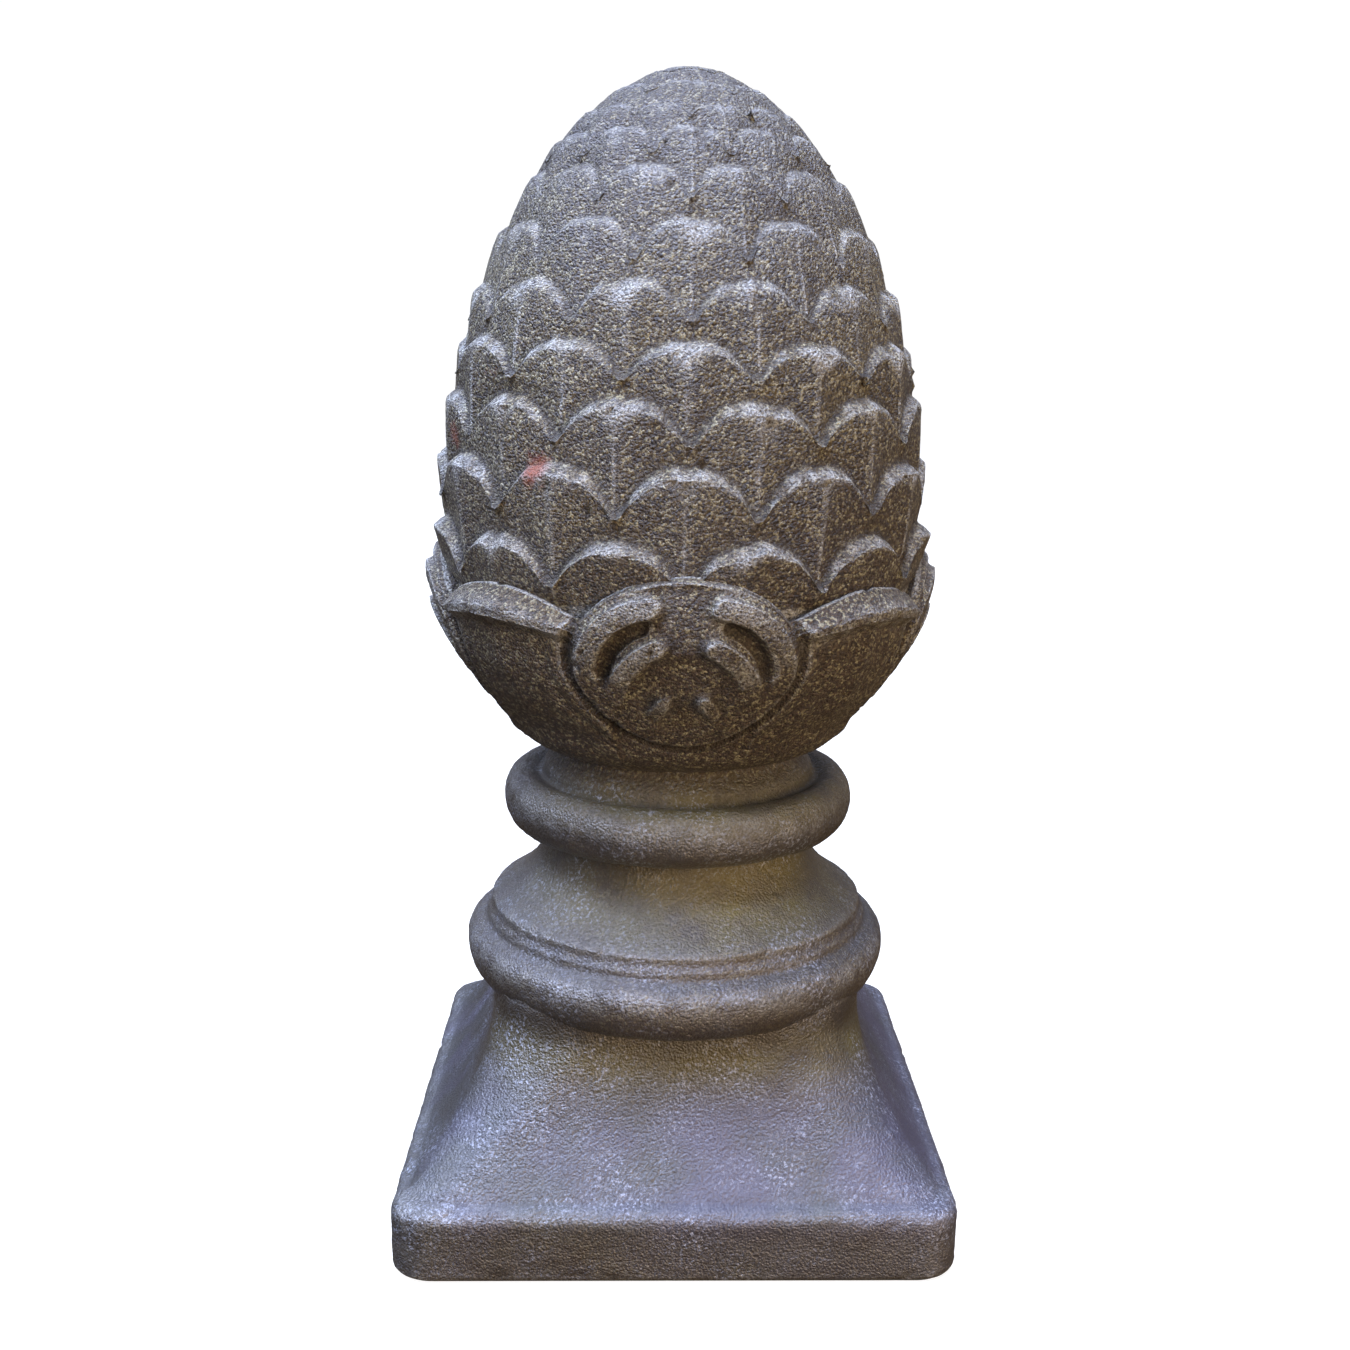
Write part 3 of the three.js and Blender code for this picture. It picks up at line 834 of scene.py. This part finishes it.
@dataclass
class Weathering:
    """What years outdoors do to the skin of a casting, as a Geometry Nodes tree.

    Attributes:
        wash: depth of the broad unevenness, in millimetres.
        grit: depth of the coarse sand.
        chip: depth of the chips along edges.
        pit: depth of the air holes.
        lump: height of the blobs that the mould left.
        seed: seed of all scattering.
    """

    wash: float = 1.1
    grit: float = 0.7
    chip: float = 2.2
    pit: float = 1.6
    lump: float = 1.5
    seed: int = 5

    DEPTHS = ("Wash depth", "Grit depth", "Chip depth", "Pit depth", "Lump height")
    DENSITIES = ("Pit density", "Lump density")

    # Rounds of blurring against which a place stands out, for each number kept on the mesh
    BLURS = (("edge", 4), ("relief", 26))

    # Size in millimetres and detail of each noise
    NOISES = (("wash", 17.0, 2.0), ("grit", 2.6, 2.0), ("chip", 7.5, 3.0), ("ragged", 2.2, 1.0))

    # Scattered spots: density, radius in millimetres, step of the seed, and 1 to sink or -1 to stand out
    SPOTS = (("pit", "Pit density", 1.9, 3.0, 1.0), ("lump", "Lump density", 2.6, 8.0, -1.0))

    # How strongly each stretch of the casting is weathered, and its air holes in a square metre
    STRENGTH = {
        Carving.SQUARE_BASE: (0.55, 60.0),
        Carving.TURNED_SHAFT: (0.45, 90.0),
        Carving.CALYX: (0.8, 260.0),
        Carving.CONE: (1.0, 380.0),
    }

    # Lumps for each air hole
    LUMP_SHARE = 0.35

    def tree(self, name: str) -> Tree:
        """Builds the tree that weathers a mesh and stores its relief for the material.

        Args:
            name: the tree's name.

        Returns:
            The tree, with its depths, densities, seed and material as inputs.
        """
        tree = bpy.data.node_groups.new(name, "GeometryNodeTree")
        inputs = {"Geometry": "Geometry", "Seed": "Int", "Material": "Material"}
        inputs |= {label: "Float" for label in (*self.DEPTHS, *self.DENSITIES)}
        for label, kind in inputs.items():
            tree.interface.new_socket(label, in_out="INPUT", socket_type="NodeSocket" + kind)
        tree.interface.new_socket("Geometry", in_out="OUTPUT", socket_type="NodeSocketGeometry")
        given = add_node(tree, "NodeGroupInput").outputs
        place = add_node(tree, "GeometryNodeInputPosition").outputs[0]
        normal = add_node(tree, "GeometryNodeInputNormal").outputs[0]

        # How far each place stands out from its blurred neighbourhood, in millimetres
        geometry = given["Geometry"]
        standing = {}
        for label, rounds in self.BLURS:
            sockets = {"Value": place, "Iterations": rounds, "Weight": 1.0}
            blur = add_node(tree, "GeometryNodeBlurAttribute", sockets, data_type="FLOAT_VECTOR").outputs[0]
            gap = add_node(tree, "ShaderNodeVectorMath", {0: place, 1: blur}, operation="SUBTRACT").outputs[0]
            dot = add_node(tree, "ShaderNodeVectorMath", {0: gap, 1: normal}, operation="DOT_PRODUCT")
            sockets = {0: dot.outputs["Value"], 1: 1.0 / MM}
            standing[label] = add_node(tree, "ShaderNodeMath", sockets, operation="MULTIPLY").outputs[0]
            sockets = {"Geometry": geometry, "Name": label, "Value": standing[label]}
            geometry = add_node(tree, "GeometryNodeStoreNamedAttribute", sockets, **ON_POINTS).outputs[0]

        noises = {}
        for label, size_mm, detail in self.NOISES:
            sockets = {"Vector": place, "Scale": 1.0 / (size_mm * MM), "Detail": detail, "Roughness": 0.55}
            noises[label] = add_node(tree, "ShaderNodeTexNoise", sockets).outputs[0]

        # Chips come where an edge stands out and the noise says so
        sockets = {0: standing["edge"], 1: 0.04, 2: 0.22, 3: 0.0, 4: 1.0}
        sharp = add_node(tree, "ShaderNodeMapRange", sockets).outputs[0]
        sockets = {0: noises["chip"], 1: 0.56, 2: 0.68, 3: 0.0, 4: 1.0}
        spots = add_node(tree, "ShaderNodeMapRange", sockets).outputs[0]
        chips = add_node(tree, "ShaderNodeMath", {0: sharp, 1: spots}, operation="MULTIPLY").outputs[0]

        # Soft spots with ragged rims round scattered points: air holes and lumps
        scattered = {}
        for label, density, radius_mm, step, depth in self.SPOTS:
            radius = radius_mm * MM
            seed = add_node(tree, "ShaderNodeMath", {0: given["Seed"], 1: step}, operation="ADD").outputs[0]
            sockets = {"Mesh": given["Geometry"], "Density": given[density], "Seed": seed}
            points = add_node(tree, "GeometryNodeDistributePointsOnFaces", sockets, distribute_method="RANDOM")
            sockets = {0: points.outputs["Points"]}
            near = add_node(tree, "GeometryNodeProximity", sockets, target_element="POINTS").outputs["Distance"]
            sockets = {0: noises["ragged"], 1: radius * 0.9, 2: near}
            far = add_node(tree, "ShaderNodeMath", sockets, operation="MULTIPLY_ADD").outputs[0]
            sockets = {0: far, 1: radius * 0.5, 2: radius * 1.25, 3: depth, 4: 0.0}
            spot = add_node(tree, "ShaderNodeMapRange", sockets, interpolation_type="SMOOTHSTEP")
            scattered[label] = spot.outputs[0]
        sockets = {"Geometry": geometry, "Name": "pit", "Value": scattered["pit"]}
        geometry = add_node(tree, "GeometryNodeStoreNamedAttribute", sockets, **ON_POINTS).outputs[0]

        # Everything but the lumps is sunk, so that the size holds
        sunk = 0.0
        parts = (noises["wash"], noises["grit"], chips, scattered["pit"], scattered["lump"])
        for label, part in zip(self.DEPTHS, parts):
            sockets = {0: part, 1: given[label], 2: sunk}
            sunk = add_node(tree, "ShaderNodeMath", sockets, operation="MULTIPLY_ADD").outputs[0]

        # The flat underside is left alone, because the casting rests on it
        low = add_node(tree, "ShaderNodeSeparateXYZ", {0: place}).outputs[2]
        free = add_node(tree, "ShaderNodeMapRange", {0: low, 1: 0.5 * MM, 2: 4 * MM, 3: 0.0, 4: -MM}).outputs[0]
        length = add_node(tree, "ShaderNodeMath", {0: sunk, 1: free}, operation="MULTIPLY").outputs[0]
        sockets = {0: normal, "Scale": length}
        shift = add_node(tree, "ShaderNodeVectorMath", sockets, operation="SCALE").outputs[0]
        moved = add_node(tree, "GeometryNodeSetPosition", {"Geometry": geometry, "Offset": shift}).outputs[0]
        real = add_node(tree, "GeometryNodeRealizeInstances", {0: moved}).outputs[0]
        sockets = {"Geometry": real, "Material": given["Material"]}
        dressed = add_node(tree, "GeometryNodeSetMaterial", sockets).outputs[0]
        add_node(tree, "NodeGroupOutput", {0: dressed})
        return tree

    def values(self, carving: Carving) -> dict[str, float]:
        """Input values for one stretch of the casting.

        Args:
            carving: the stretch.

        Returns:
            Input name against value.
        """
        cut, pits = self.STRENGTH[carving]
        depths = (self.wash, self.grit * (0.5 + 0.7 * cut), self.chip * cut, self.pit, self.lump)
        return {**dict(zip(self.DEPTHS, depths)), **dict(zip(self.DENSITIES, (pits, pits * self.LUMP_SHARE)))}

    def apply(
        self, mesh: bpy.types.Mesh, name: str, carving: Carving, finish: bpy.types.Material
    ) -> bpy.types.Object:
        """Weathers a mesh.

        Args:
            mesh: the clean surface.
            name: the finished piece's name.
            carving: which stretch of the casting it is.
            finish: its material.

        Returns:
            The finished piece, a plain mesh without modifiers.
        """
        piece = bpy.data.objects.new(name, mesh)
        bpy.context.scene.collection.objects.link(piece)
        tree = self.tree(name + "_weather")
        modifier = piece.modifiers.new("weather", "NODES")
        modifier.node_group = tree
        given = {**self.values(carving), "Seed": self.seed + len(name), "Material": finish}
        for item in tree.interface.items_tree:
            if item.item_type == "SOCKET" and item.in_out == "INPUT" and item.name in given:
                modifier[item.identifier] = given[item.name]
        graph = bpy.context.evaluated_depsgraph_get()
        evaluated = piece.evaluated_get(graph)
        done = bpy.data.meshes.new_from_object(evaluated, preserve_all_data_layers=True, depsgraph=graph)
        piece.modifiers.clear()
        piece.data = done
        done.name = name
        return piece


@dataclass(frozen=True)
class Reach:
    """A number carried from one range to another and held inside it.

    Attributes:
        source: name of the number.
        low: its value at the start.
        high: its value at the end.
        start: what it becomes at the start.
        end: what it becomes at the end.
    """

    source: str
    low: float
    high: float
    start: float = 0.0
    end: float = 1.0


Product = tuple[Reach, ...]
Parts = tuple[Product, ...]
Found = dict[str, Socket]


@dataclass(frozen=True)
class Layer:
    """One colour laid over those below it.

    Attributes:
        colour: sRGB hex.
        where: ranges whose product says where it lies.
        parts: products whose sum is taken times that.
        strength: how well it covers.
        held: whether the sum of the parts stops at 1.
    """

    colour: str
    where: Product
    parts: Parts = ((),)
    strength: float = 1.0
    held: bool = True


@dataclass(frozen=True)
class CastStone:
    """Reconstituted stone: sand and cement tamped dry into a mould, then years of weather.

    To the eye it is a field of pale and dark sand grains in a grey-brown paste, rough but with
    a slight sheen where rain has washed the cement off, pale where edges are rubbed, dark where
    dirt collects, and olive where algae grow under the mouldings. Shade is painted dark into the
    recesses, the air holes and the top of the sweep under the lower ring, and highlights are
    painted as pale glints on the shaft and base. Heights and places are metres.
    """

    paste: str = "7c6d3e"
    dark_paste: str = "51432a"
    pale_grain: str = "b9b28c"
    dark_grain: str = "2c241a"
    worn: str = "bcbdb6"
    umber: str = "54423a"
    # Dark brown of the dirt, and of the painted shade in recesses and under the lower ring
    dirt_and_shade: str = "2b241b"
    olive: str = "62580e"
    red_stain: str = "8c3c0c"
    purple: str = "4b4560"
    slate: str = "272c2e"
    ash: str = "3b3935"
    # Pale blue-white of the painted glints, specks that stand in for highlights
    painted_glint: str = "c6cede"
    ior: float = 1.5
    specular: float = 0.6
    dull: float = 0.58
    polished: float = 0.38
    film: float = 0.85
    film_on_cone: float = 0.357
    film_roughness: float = 0.27
    bump: float = 0.0014

    # Width of a sand grain, drawn a little over its real size so that it shows
    grain_mm: float = 1.15

    # Where the smooth shaft gives way to the coarse bowl
    shaft_end: tuple[float, float] = (0.185, 0.215)

    # Where the crown darkens, from the cone's shoulder up
    crown: tuple[float, float] = (0.38, 0.46)

    # Heights between which algae grow, and how soft their limits are
    algae: tuple[tuple[float, float], ...] = ((0.070, 0.092), (0.136, 0.164), (0.186, 0.198))
    algae_soft: float = 0.008

    # Rust-red clay on the left of the cone: place and radius
    stains: tuple[tuple[float, float, float, float], ...] = (
        (-0.060, -0.089, 0.336, 0.006),
        (-0.084, -0.066, 0.372, 0.005),
        (-0.100, -0.040, 0.345, 0.005),
    )
    stain_rag: float = 0.011

    # Where dirt collects and shade is painted into the recesses, and how much duller it is there
    deep: Product = (Reach("relief", -0.15, -1.0), Reach("soil", 0.2, 0.6, 0.55, 1.0))
    deep_dull: Product = (Reach("relief", -0.15, -1.0), Reach("soil", 0.2, 0.6, 0.1375, 0.25))

    # Size in millimetres, detail and roughness of each noise
    NOISES = (
        ("broad", 60.0, 3.0, 0.5),
        ("speckle", 1.1, 3.0, 0.7),
        ("blotch", 13.0, 4.0, 0.6),
        ("cloud", 45.0, 2.0, 0.5),
        ("drift", 30.0, 2.0, 0.5),
        ("patch", 9.0, 3.0, 0.5),
        ("soil", 14.0, 2.0, 0.5),
        ("growth", 26.0, 4.0, 0.5),
        ("tint", 38.0, 2.0, 0.5),
        ("spark", 1.5, 3.0, 0.7),
        ("cluster", 26.0, 2.0, 0.5),
        ("ragged", 3.0, 3.0, 0.7),
        ("sand", 2.2, 2.0, 0.5),
    )

    # Numbers that the mesh carries
    CARRIED = ("edge", "relief", "wear", "pit")

    def sources(self, tree: Tree) -> Found:
        """Adds the nodes that give the layers their numbers.

        Args:
            tree: the material's tree.

        Returns:
            Name of each number against its socket.
        """
        place = add_node(tree, "ShaderNodeTexCoord").outputs["Object"]
        split = add_node(tree, "ShaderNodeSeparateXYZ", {0: place}).outputs
        found = {"z": split[2]}
        for label in self.CARRIED:
            carried = add_node(tree, "ShaderNodeAttribute", attribute_name=label, attribute_type="GEOMETRY")
            found[label] = carried.outputs["Fac"]
        for label, size_mm, detail, rough in self.NOISES:
            sockets = {"Vector": place, "Scale": 1.0 / (size_mm * MM), "Detail": detail, "Roughness": rough}
            found[label] = add_node(tree, "ShaderNodeTexNoise", sockets).outputs[0]
        sockets = {"Vector": place, "Scale": 1.0 / (self.grain_mm * MM), "Randomness": 1.0}
        grains = add_node(tree, "ShaderNodeTexVoronoi", sockets, feature="F1").outputs
        found["pick"] = add_node(tree, "ShaderNodeSeparateColor", {0: grains["Color"]}).outputs[0]
        found["grain_rim"] = grains["Distance"]
        # Algae favour the front and the right, and the purple tint the right
        side = add_node(tree, "ShaderNodeVectorMath", {0: place, 1: (6.0, -7.0, 0.0)}, operation="DOT_PRODUCT")
        found["side"] = side.outputs["Value"]
        sockets = {0: split[0], 1: 1.2, 2: found["tint"]}
        found["right_tint"] = add_node(tree, "ShaderNodeMath", sockets, operation="MULTIPLY_ADD").outputs[0]
        for i, (px, py, pz, _) in enumerate(self.stains):
            gap = add_node(tree, "ShaderNodeVectorMath", {0: place, 1: (px, py, pz)}, operation="DISTANCE")
            sockets = {0: found["ragged"], 1: self.stain_rag, 2: gap.outputs["Value"]}
            found[f"stain_{i}"] = add_node(tree, "ShaderNodeMath", sockets, operation="MULTIPLY_ADD").outputs[0]
        return found

    def layers(self) -> list[Layer]:
        """Lists what lies over the paste.

        Returns:
            The layers from the lowest to the topmost.
        """
        grit = Reach("z", *self.shaft_end, 0.65, 1.0)
        foot = (Reach("z", 0.082, 0.055), Reach("z", 0.018, 0.036, 0.2, 1.0))
        soft = self.algae_soft
        bands = tuple((Reach("z", a - soft, a + soft), Reach("z", b + soft, b - soft)) for a, b in self.algae)
        rubbed = (
            (Reach("wear", 0.0, 1.0), Reach("patch", 0.34, 0.62)),
            (Reach("edge", 0.10, 0.34), Reach("z", 0.245, 0.28, 0.35, 1.0)),
        )
        ring = (Reach("z", 0.150, 0.166), Reach("z", 0.200, 0.186, 0.0, 0.24))
        made = [
            # Umber in the bowl and the lower cone, and darker on the crown
            Layer(self.umber, (Reach("z", 0.37, 0.26, 0.0, 0.65),)),
            Layer(self.dark_grain, (Reach("z", 0.385, 0.47, 0.0, 0.7),)),
            # Pale grains, dark grains and the gaps between them
            Layer(self.pale_grain, (Reach("pick", 0.64, 0.93), Reach("z", *self.crown, 0.85, 0.5), grit)),
            Layer(self.dark_grain, (Reach("pick", 0.42, 0.12), grit), strength=0.9),
            Layer(self.dark_grain, (Reach("speckle", 0.54, 0.42), grit), strength=0.85),
            # Stains in patches on the smoother shaft, most of all on the upper ring
            Layer(
                self.dark_grain,
                (Reach("z", 0.215, 0.19, 0.25, 1.0),),
                ((Reach("blotch", 0.48, 0.66, 0.54, 0.89),), ring),
                held=False,
            ),
            # Darker below 8 to 10 cm
            Layer(self.dark_grain, (Reach("z", 0.10, 0.08),), strength=0.3),
            # Ash-grey clouds on the shaft and base
            Layer(self.ash, (Reach("z", 0.215, 0.19), Reach("cloud", 0.35, 0.6, 0.2, 0.6))),
            # Painted shadow of the lower ring: dark brown on the top of the sweep, broken up by noise
            Layer(
                self.dirt_and_shade,
                (Reach("z", 0.045, 0.085), Reach("z", 0.108, 0.096), Reach("drift", 0.3, 0.6, 0.5, 0.8)),
            ),
            # Rubbed edges and tips
            Layer(
                self.worn,
                (
                    Reach("speckle", 0.36, 0.6),
                    Reach("z", *self.shaft_end, 0.3, 0.75),
                    Reach("z", *self.crown, 1.0, 0.75),
                ),
                rubbed,
            ),
            # Dirt and painted shade in what lies deep and in the air holes
            Layer(self.dirt_and_shade, (), (self.deep, (Reach("pit", 0.0, 1.0, 0.0, 0.9),)), strength=0.7),
            # Algae under the mouldings, thicker on the front and the right
            Layer(
                self.olive,
                (
                    Reach("side", -0.35, 0.65, 0.15, 1.0),
                    Reach("growth", 0.28, 0.55),
                    Reach("z", 0.09, 0.13, 0.5, 0.85),
                ),
                bands,
            ),
            # Slate grey and purple low on the sweep, and painted glints: pale blue-white specks that stand in
            # for sparkling highlights on the shaft and base
            Layer(self.slate, foot, strength=0.6),
            Layer(self.purple, (*foot, Reach("right_tint", 0.36, 0.62)), strength=0.4),
            Layer(
                self.painted_glint,
                (Reach("spark", 0.52, 0.70), Reach("z", 0.215, 0.2), Reach("cluster", 0.40, 0.68)),
                strength=0.55,
            ),
        ]
        for i, (*_, size) in enumerate(self.stains):
            rim = Reach(f"stain_{i}", size + 0.008, size + 0.003)
            made.append(Layer(self.red_stain, (rim, Reach("speckle", 0.38, 0.55, 0.35, 0.9))))
        return made

    def total(self, tree: Tree, found: Found, parts: Parts, held: bool = True) -> Socket:
        """Adds the nodes for a sum of products of ranges.

        Args:
            tree: the material's tree.
            found: the numbers by name.
            parts: the products.
            held: whether the sum stays between 0 and 1.

        Returns:
            The sum's socket.
        """
        total = 0.0
        for part in parts:
            value = 1.0
            for reach in part:
                sockets = {0: found[reach.source], 1: reach.low, 2: reach.high, 3: reach.start, 4: reach.end}
                ranged = add_node(tree, "ShaderNodeMapRange", sockets).outputs[0]
                value = add_node(tree, "ShaderNodeMath", {0: value, 1: ranged}, operation="MULTIPLY").outputs[0]
            sockets = {0: total, 1: value}
            total = add_node(tree, "ShaderNodeMath", sockets, operation="ADD", use_clamp=held).outputs[0]
        return total

    def material(self, name: str) -> bpy.types.Material:
        """Builds the material's nodes.

        Args:
            name: the material's name.

        Returns:
            The material.
        """
        made = bpy.data.materials.new(name)
        made.use_nodes = True
        tree = made.node_tree
        tree.nodes.clear()
        found = self.sources(tree)
        sockets = {6: linear(self.paste), 7: linear(self.dark_paste)}
        sockets[0] = self.total(tree, found, ((Reach("broad", 0.35, 0.68),),))
        colour = add_node(tree, "ShaderNodeMix", sockets, data_type="RGBA").outputs[2]
        for layer in self.layers():
            share = self.total(tree, found, layer.parts, layer.held)
            for factor in (self.total(tree, found, (layer.where,)), layer.strength):
                share = add_node(tree, "ShaderNodeMath", {0: share, 1: factor}, operation="MULTIPLY").outputs[0]
            sockets = {0: share, 6: colour, 7: linear(layer.colour)}
            colour = add_node(tree, "ShaderNodeMix", sockets, data_type="RGBA").outputs[2]

        # Grit as bump: rounded grains, fine sand and coarser sand
        grit = (
            (Reach("grain_rim", 0.0, 0.9, 0.0, -0.55),),
            (Reach("speckle", 0.0, 1.0, 0.0, 1.1),),
            (Reach("sand", 0.0, 1.0, 0.0, 0.45),),
        )
        sockets = {
            "Strength": self.total(tree, found, ((Reach("z", *self.shaft_end, 0.5, 1.0),),)),
            "Distance": self.bump,
            "Height": self.total(tree, found, grit, held=False),
        }
        bump = add_node(tree, "ShaderNodeBump", sockets).outputs[0]
        # The skin catches the light on washed grains and is dull on the paste and in the dirt
        sheen = ((Reach("speckle", 0.3, 0.7, self.dull, self.polished),), self.deep_dull)
        film = Reach("z", *self.shaft_end, self.film, self.film_on_cone)
        sockets = {
            "Base Color": colour,
            "Roughness": self.total(tree, found, sheen),
            "Normal": bump,
            "IOR": self.ior,
            "Specular IOR Level": self.specular,
            "Coat Weight": self.total(tree, found, ((film,),)),
            "Coat Roughness": self.film_roughness,
            "Coat IOR": self.ior,
            "Coat Normal": bump,
            "Metallic": 0.0,
        }
        stone = add_node(tree, "ShaderNodeBsdfPrincipled", sockets)
        add_node(tree, "ShaderNodeOutputMaterial", {"Surface": stone.outputs[0]})
        return made


@dataclass(frozen=True)
class Lamp:
    """A square soft box that faces the cone.

    Attributes:
        name: the lamp's name.
        place: where it hangs, in metres.
        size: its side, in metres.
        watts: its power.
        colour: sRGB hex.
    """

    name: str
    place: tuple[float, float, float]
    size: float
    watts: float
    colour: str

    # Height that every lamp faces, in metres
    AIM = 0.25

    def hang(self) -> None:
        """Adds the lamp to the scene."""
        data = bpy.data.lights.new(self.name, "AREA")
        data.shape, data.size, data.energy = "SQUARE", self.size, self.watts
        data.color = linear(self.colour)[:3]
        lamp = bpy.data.objects.new(self.name, data)
        lamp.location = self.place
        ahead = Vector((0, 0, self.AIM)) - Vector(self.place)
        lamp.rotation_euler = ahead.to_track_quat("-Z", "Y").to_euler()
        bpy.context.scene.collection.objects.link(lamp)


@dataclass
class Studio:
    """Pale floor, soft lights and the camera at the photograph's angle."""

    # The camera: its place in millimetres, its turns and its lens
    eye: tuple[float, float, float] = (-14.07, -678.46, 384.45)
    heading_deg: float = 2.07
    pitch_deg: float = 12.43
    roll_deg: float = 1.15
    lens: float = 40.0
    sensor: float = 36.0
    shift_x: float = -0.0201

    # The paper behind, the floor, and the light that the floor gives of itself, which hides its far edge
    wall: str = "ffffff"
    wall_light: float = 1.02
    floor: str = "8c8a84"
    floor_glow: float = 0.9
    floor_reach: float = 6.0
    floor_gap: float = 0.0002

    # The surroundings: colours from below and above, brightness, and the three soft boxes
    ground_light: str = "6a5a4b"
    sky_light: str = "cdd6f2"
    sky_strength: float = 0.55
    lamps: tuple[Lamp, ...] = (
        Lamp("sky_box", (-0.6, -0.2, 3.2), 3.4, 570.0, "c2d0f8"),
        Lamp("left_fill", (-1.5, -1.0, 1.2), 1.0, 11.0, "dfe6ff"),
        Lamp("warm_fill", (1.2, -1.9, 0.5), 1.4, 46.0, "ffdcb4"),
    )

    def camera(self) -> None:
        """Adds the camera."""
        data = bpy.data.cameras.new("camera")
        data.lens, data.sensor_width, data.shift_x = self.lens, self.sensor, self.shift_x
        data.clip_start, data.clip_end = 0.01, 50.0
        turn, pitch, roll = (math.radians(v) for v in (self.heading_deg, self.pitch_deg, self.roll_deg))
        level = math.cos(pitch)
        ahead = Vector((math.sin(turn) * level, math.cos(turn) * level, -math.sin(pitch)))
        right = Vector((math.cos(turn), -math.sin(turn), 0.0))
        above = right.cross(ahead)
        across = right * math.cos(roll) + above * math.sin(roll)
        upward = above * math.cos(roll) - right * math.sin(roll)
        place = Matrix((across, upward, -ahead)).transposed().to_4x4()
        place.translation = Vector(self.eye) * MM
        camera = bpy.data.objects.new("camera", data)
        camera.matrix_world = place
        bpy.context.scene.collection.objects.link(camera)
        bpy.context.scene.camera = camera

    def surroundings(self) -> None:
        """Sets the pale surroundings: bright above and dim below."""
        world = bpy.data.worlds.new("surroundings")
        bpy.context.scene.world = world
        world.use_nodes = True
        tree = world.node_tree
        tree.nodes.clear()
        ray = add_node(tree, "ShaderNodeTexCoord").outputs["Generated"]
        up = add_node(tree, "ShaderNodeSeparateXYZ", {0: ray}).outputs[2]
        share = add_node(tree, "ShaderNodeMapRange", {0: up, 1: -0.25, 2: 0.7, 3: 0.0, 4: 1.0}).outputs[0]
        sockets = {0: share, 6: linear(self.ground_light), 7: linear(self.sky_light)}
        sky = add_node(tree, "ShaderNodeMix", sockets, data_type="RGBA").outputs[2]
        light = add_node(tree, "ShaderNodeBackground", {0: sky, 1: self.sky_strength}).outputs[0]
        paper = add_node(tree, "ShaderNodeBackground", {0: linear(self.wall), 1: self.wall_light}).outputs[0]
        seen = add_node(tree, "ShaderNodeLightPath").outputs["Is Camera Ray"]
        both = add_node(tree, "ShaderNodeMixShader", {0: seen, 1: light, 2: paper})
        add_node(tree, "ShaderNodeOutputWorld", {0: both.outputs[0]})

    def ground(self) -> None:
        """Lays the pale floor under the finial."""
        mesh = bpy.data.meshes.new("floor")
        corners = ((-1, -1), (1, -1), (1, 1), (-1, 1))
        places = [(x * self.floor_reach, y * self.floor_reach, -self.floor_gap) for x, y in corners]
        mesh.from_pydata(places, [], [(0, 1, 2, 3)])
        floor = bpy.data.objects.new("floor", mesh)
        bpy.context.scene.collection.objects.link(floor)
        made = bpy.data.materials.new("pale_floor")
        made.use_nodes = True
        tree = made.node_tree
        tree.nodes.clear()
        sockets = {
            "Base Color": linear(self.floor),
            "Roughness": 0.9,
            "Specular IOR Level": 0.1,
            "Emission Color": linear(self.wall),
            "Emission Strength": self.floor_glow,
        }
        shader = add_node(tree, "ShaderNodeBsdfPrincipled", sockets)
        add_node(tree, "ShaderNodeOutputMaterial", {"Surface": shader.outputs[0]})
        mesh.materials.append(made)
        floor.visible_diffuse = False
        floor.visible_glossy = False

    def build(self) -> None:
        """Sets up the whole studio."""
        self.camera()
        self.surroundings()
        self.ground()
        for lamp in self.lamps:
            lamp.hang()
        bpy.context.scene.view_settings.view_transform = "Standard"


@dataclass
class Finial:
    """The whole casting, made as its square base, turned shaft, calyx and cone."""

    base: SquareBase = field(default_factory=SquareBase)
    shaft: TurnedShaft = field(default_factory=TurnedShaft)
    weather: Weathering = field(default_factory=Weathering)
    stone: CastStone = field(default_factory=CastStone)

    def trim(self, piece: bpy.types.Object) -> None:
        """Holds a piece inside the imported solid's box.

        Args:
            piece: the piece.
        """
        low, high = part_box(NODE)
        count = len(piece.data.vertices)
        places = np.zeros(count * 3, np.float32)
        piece.data.vertices.foreach_get("co", places)
        held = np.clip(places.reshape(-1, 3), np.array(low), np.array(high))
        piece.data.vertices.foreach_set("co", held.astype(np.float32).ravel())
        piece.data.update()

    def build(self) -> list[bpy.types.Object]:
        """Makes every piece of the casting and ties it to the frame.

        Returns:
            The finished pieces.
        """
        finish = self.stone.material("cast_stone_weathered")
        calyx = Calyx(self.shaft.bowl_z)
        cone = Cone(calyx.top)
        stretches = (
            ("casting_base", Carving.SQUARE_BASE, self.base),
            ("casting_shaft", Carving.TURNED_SHAFT, self.shaft),
            ("casting_calyx", Carving.CALYX, calyx),
            ("casting_cone", Carving.CONE, cone),
        )
        pieces = []
        for name, carving, maker in stretches:
            piece = self.weather.apply(maker.skin().mesh(name), name, carving, finish)
            self.trim(piece)
            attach(piece, "root")
            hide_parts(NODE)
            piece.data.calc_loop_triangles()
            LOG.info("%s: %d triangles", name, len(piece.data.loop_triangles))
            pieces.append(piece)
        return pieces


def main() -> None:
    """Loads the frame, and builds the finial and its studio."""
    logging.basicConfig(level=logging.INFO, format="%(name)s %(message)s")
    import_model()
    Finial().build()
    Studio().build()


if __name__ == "__main__":
    main()
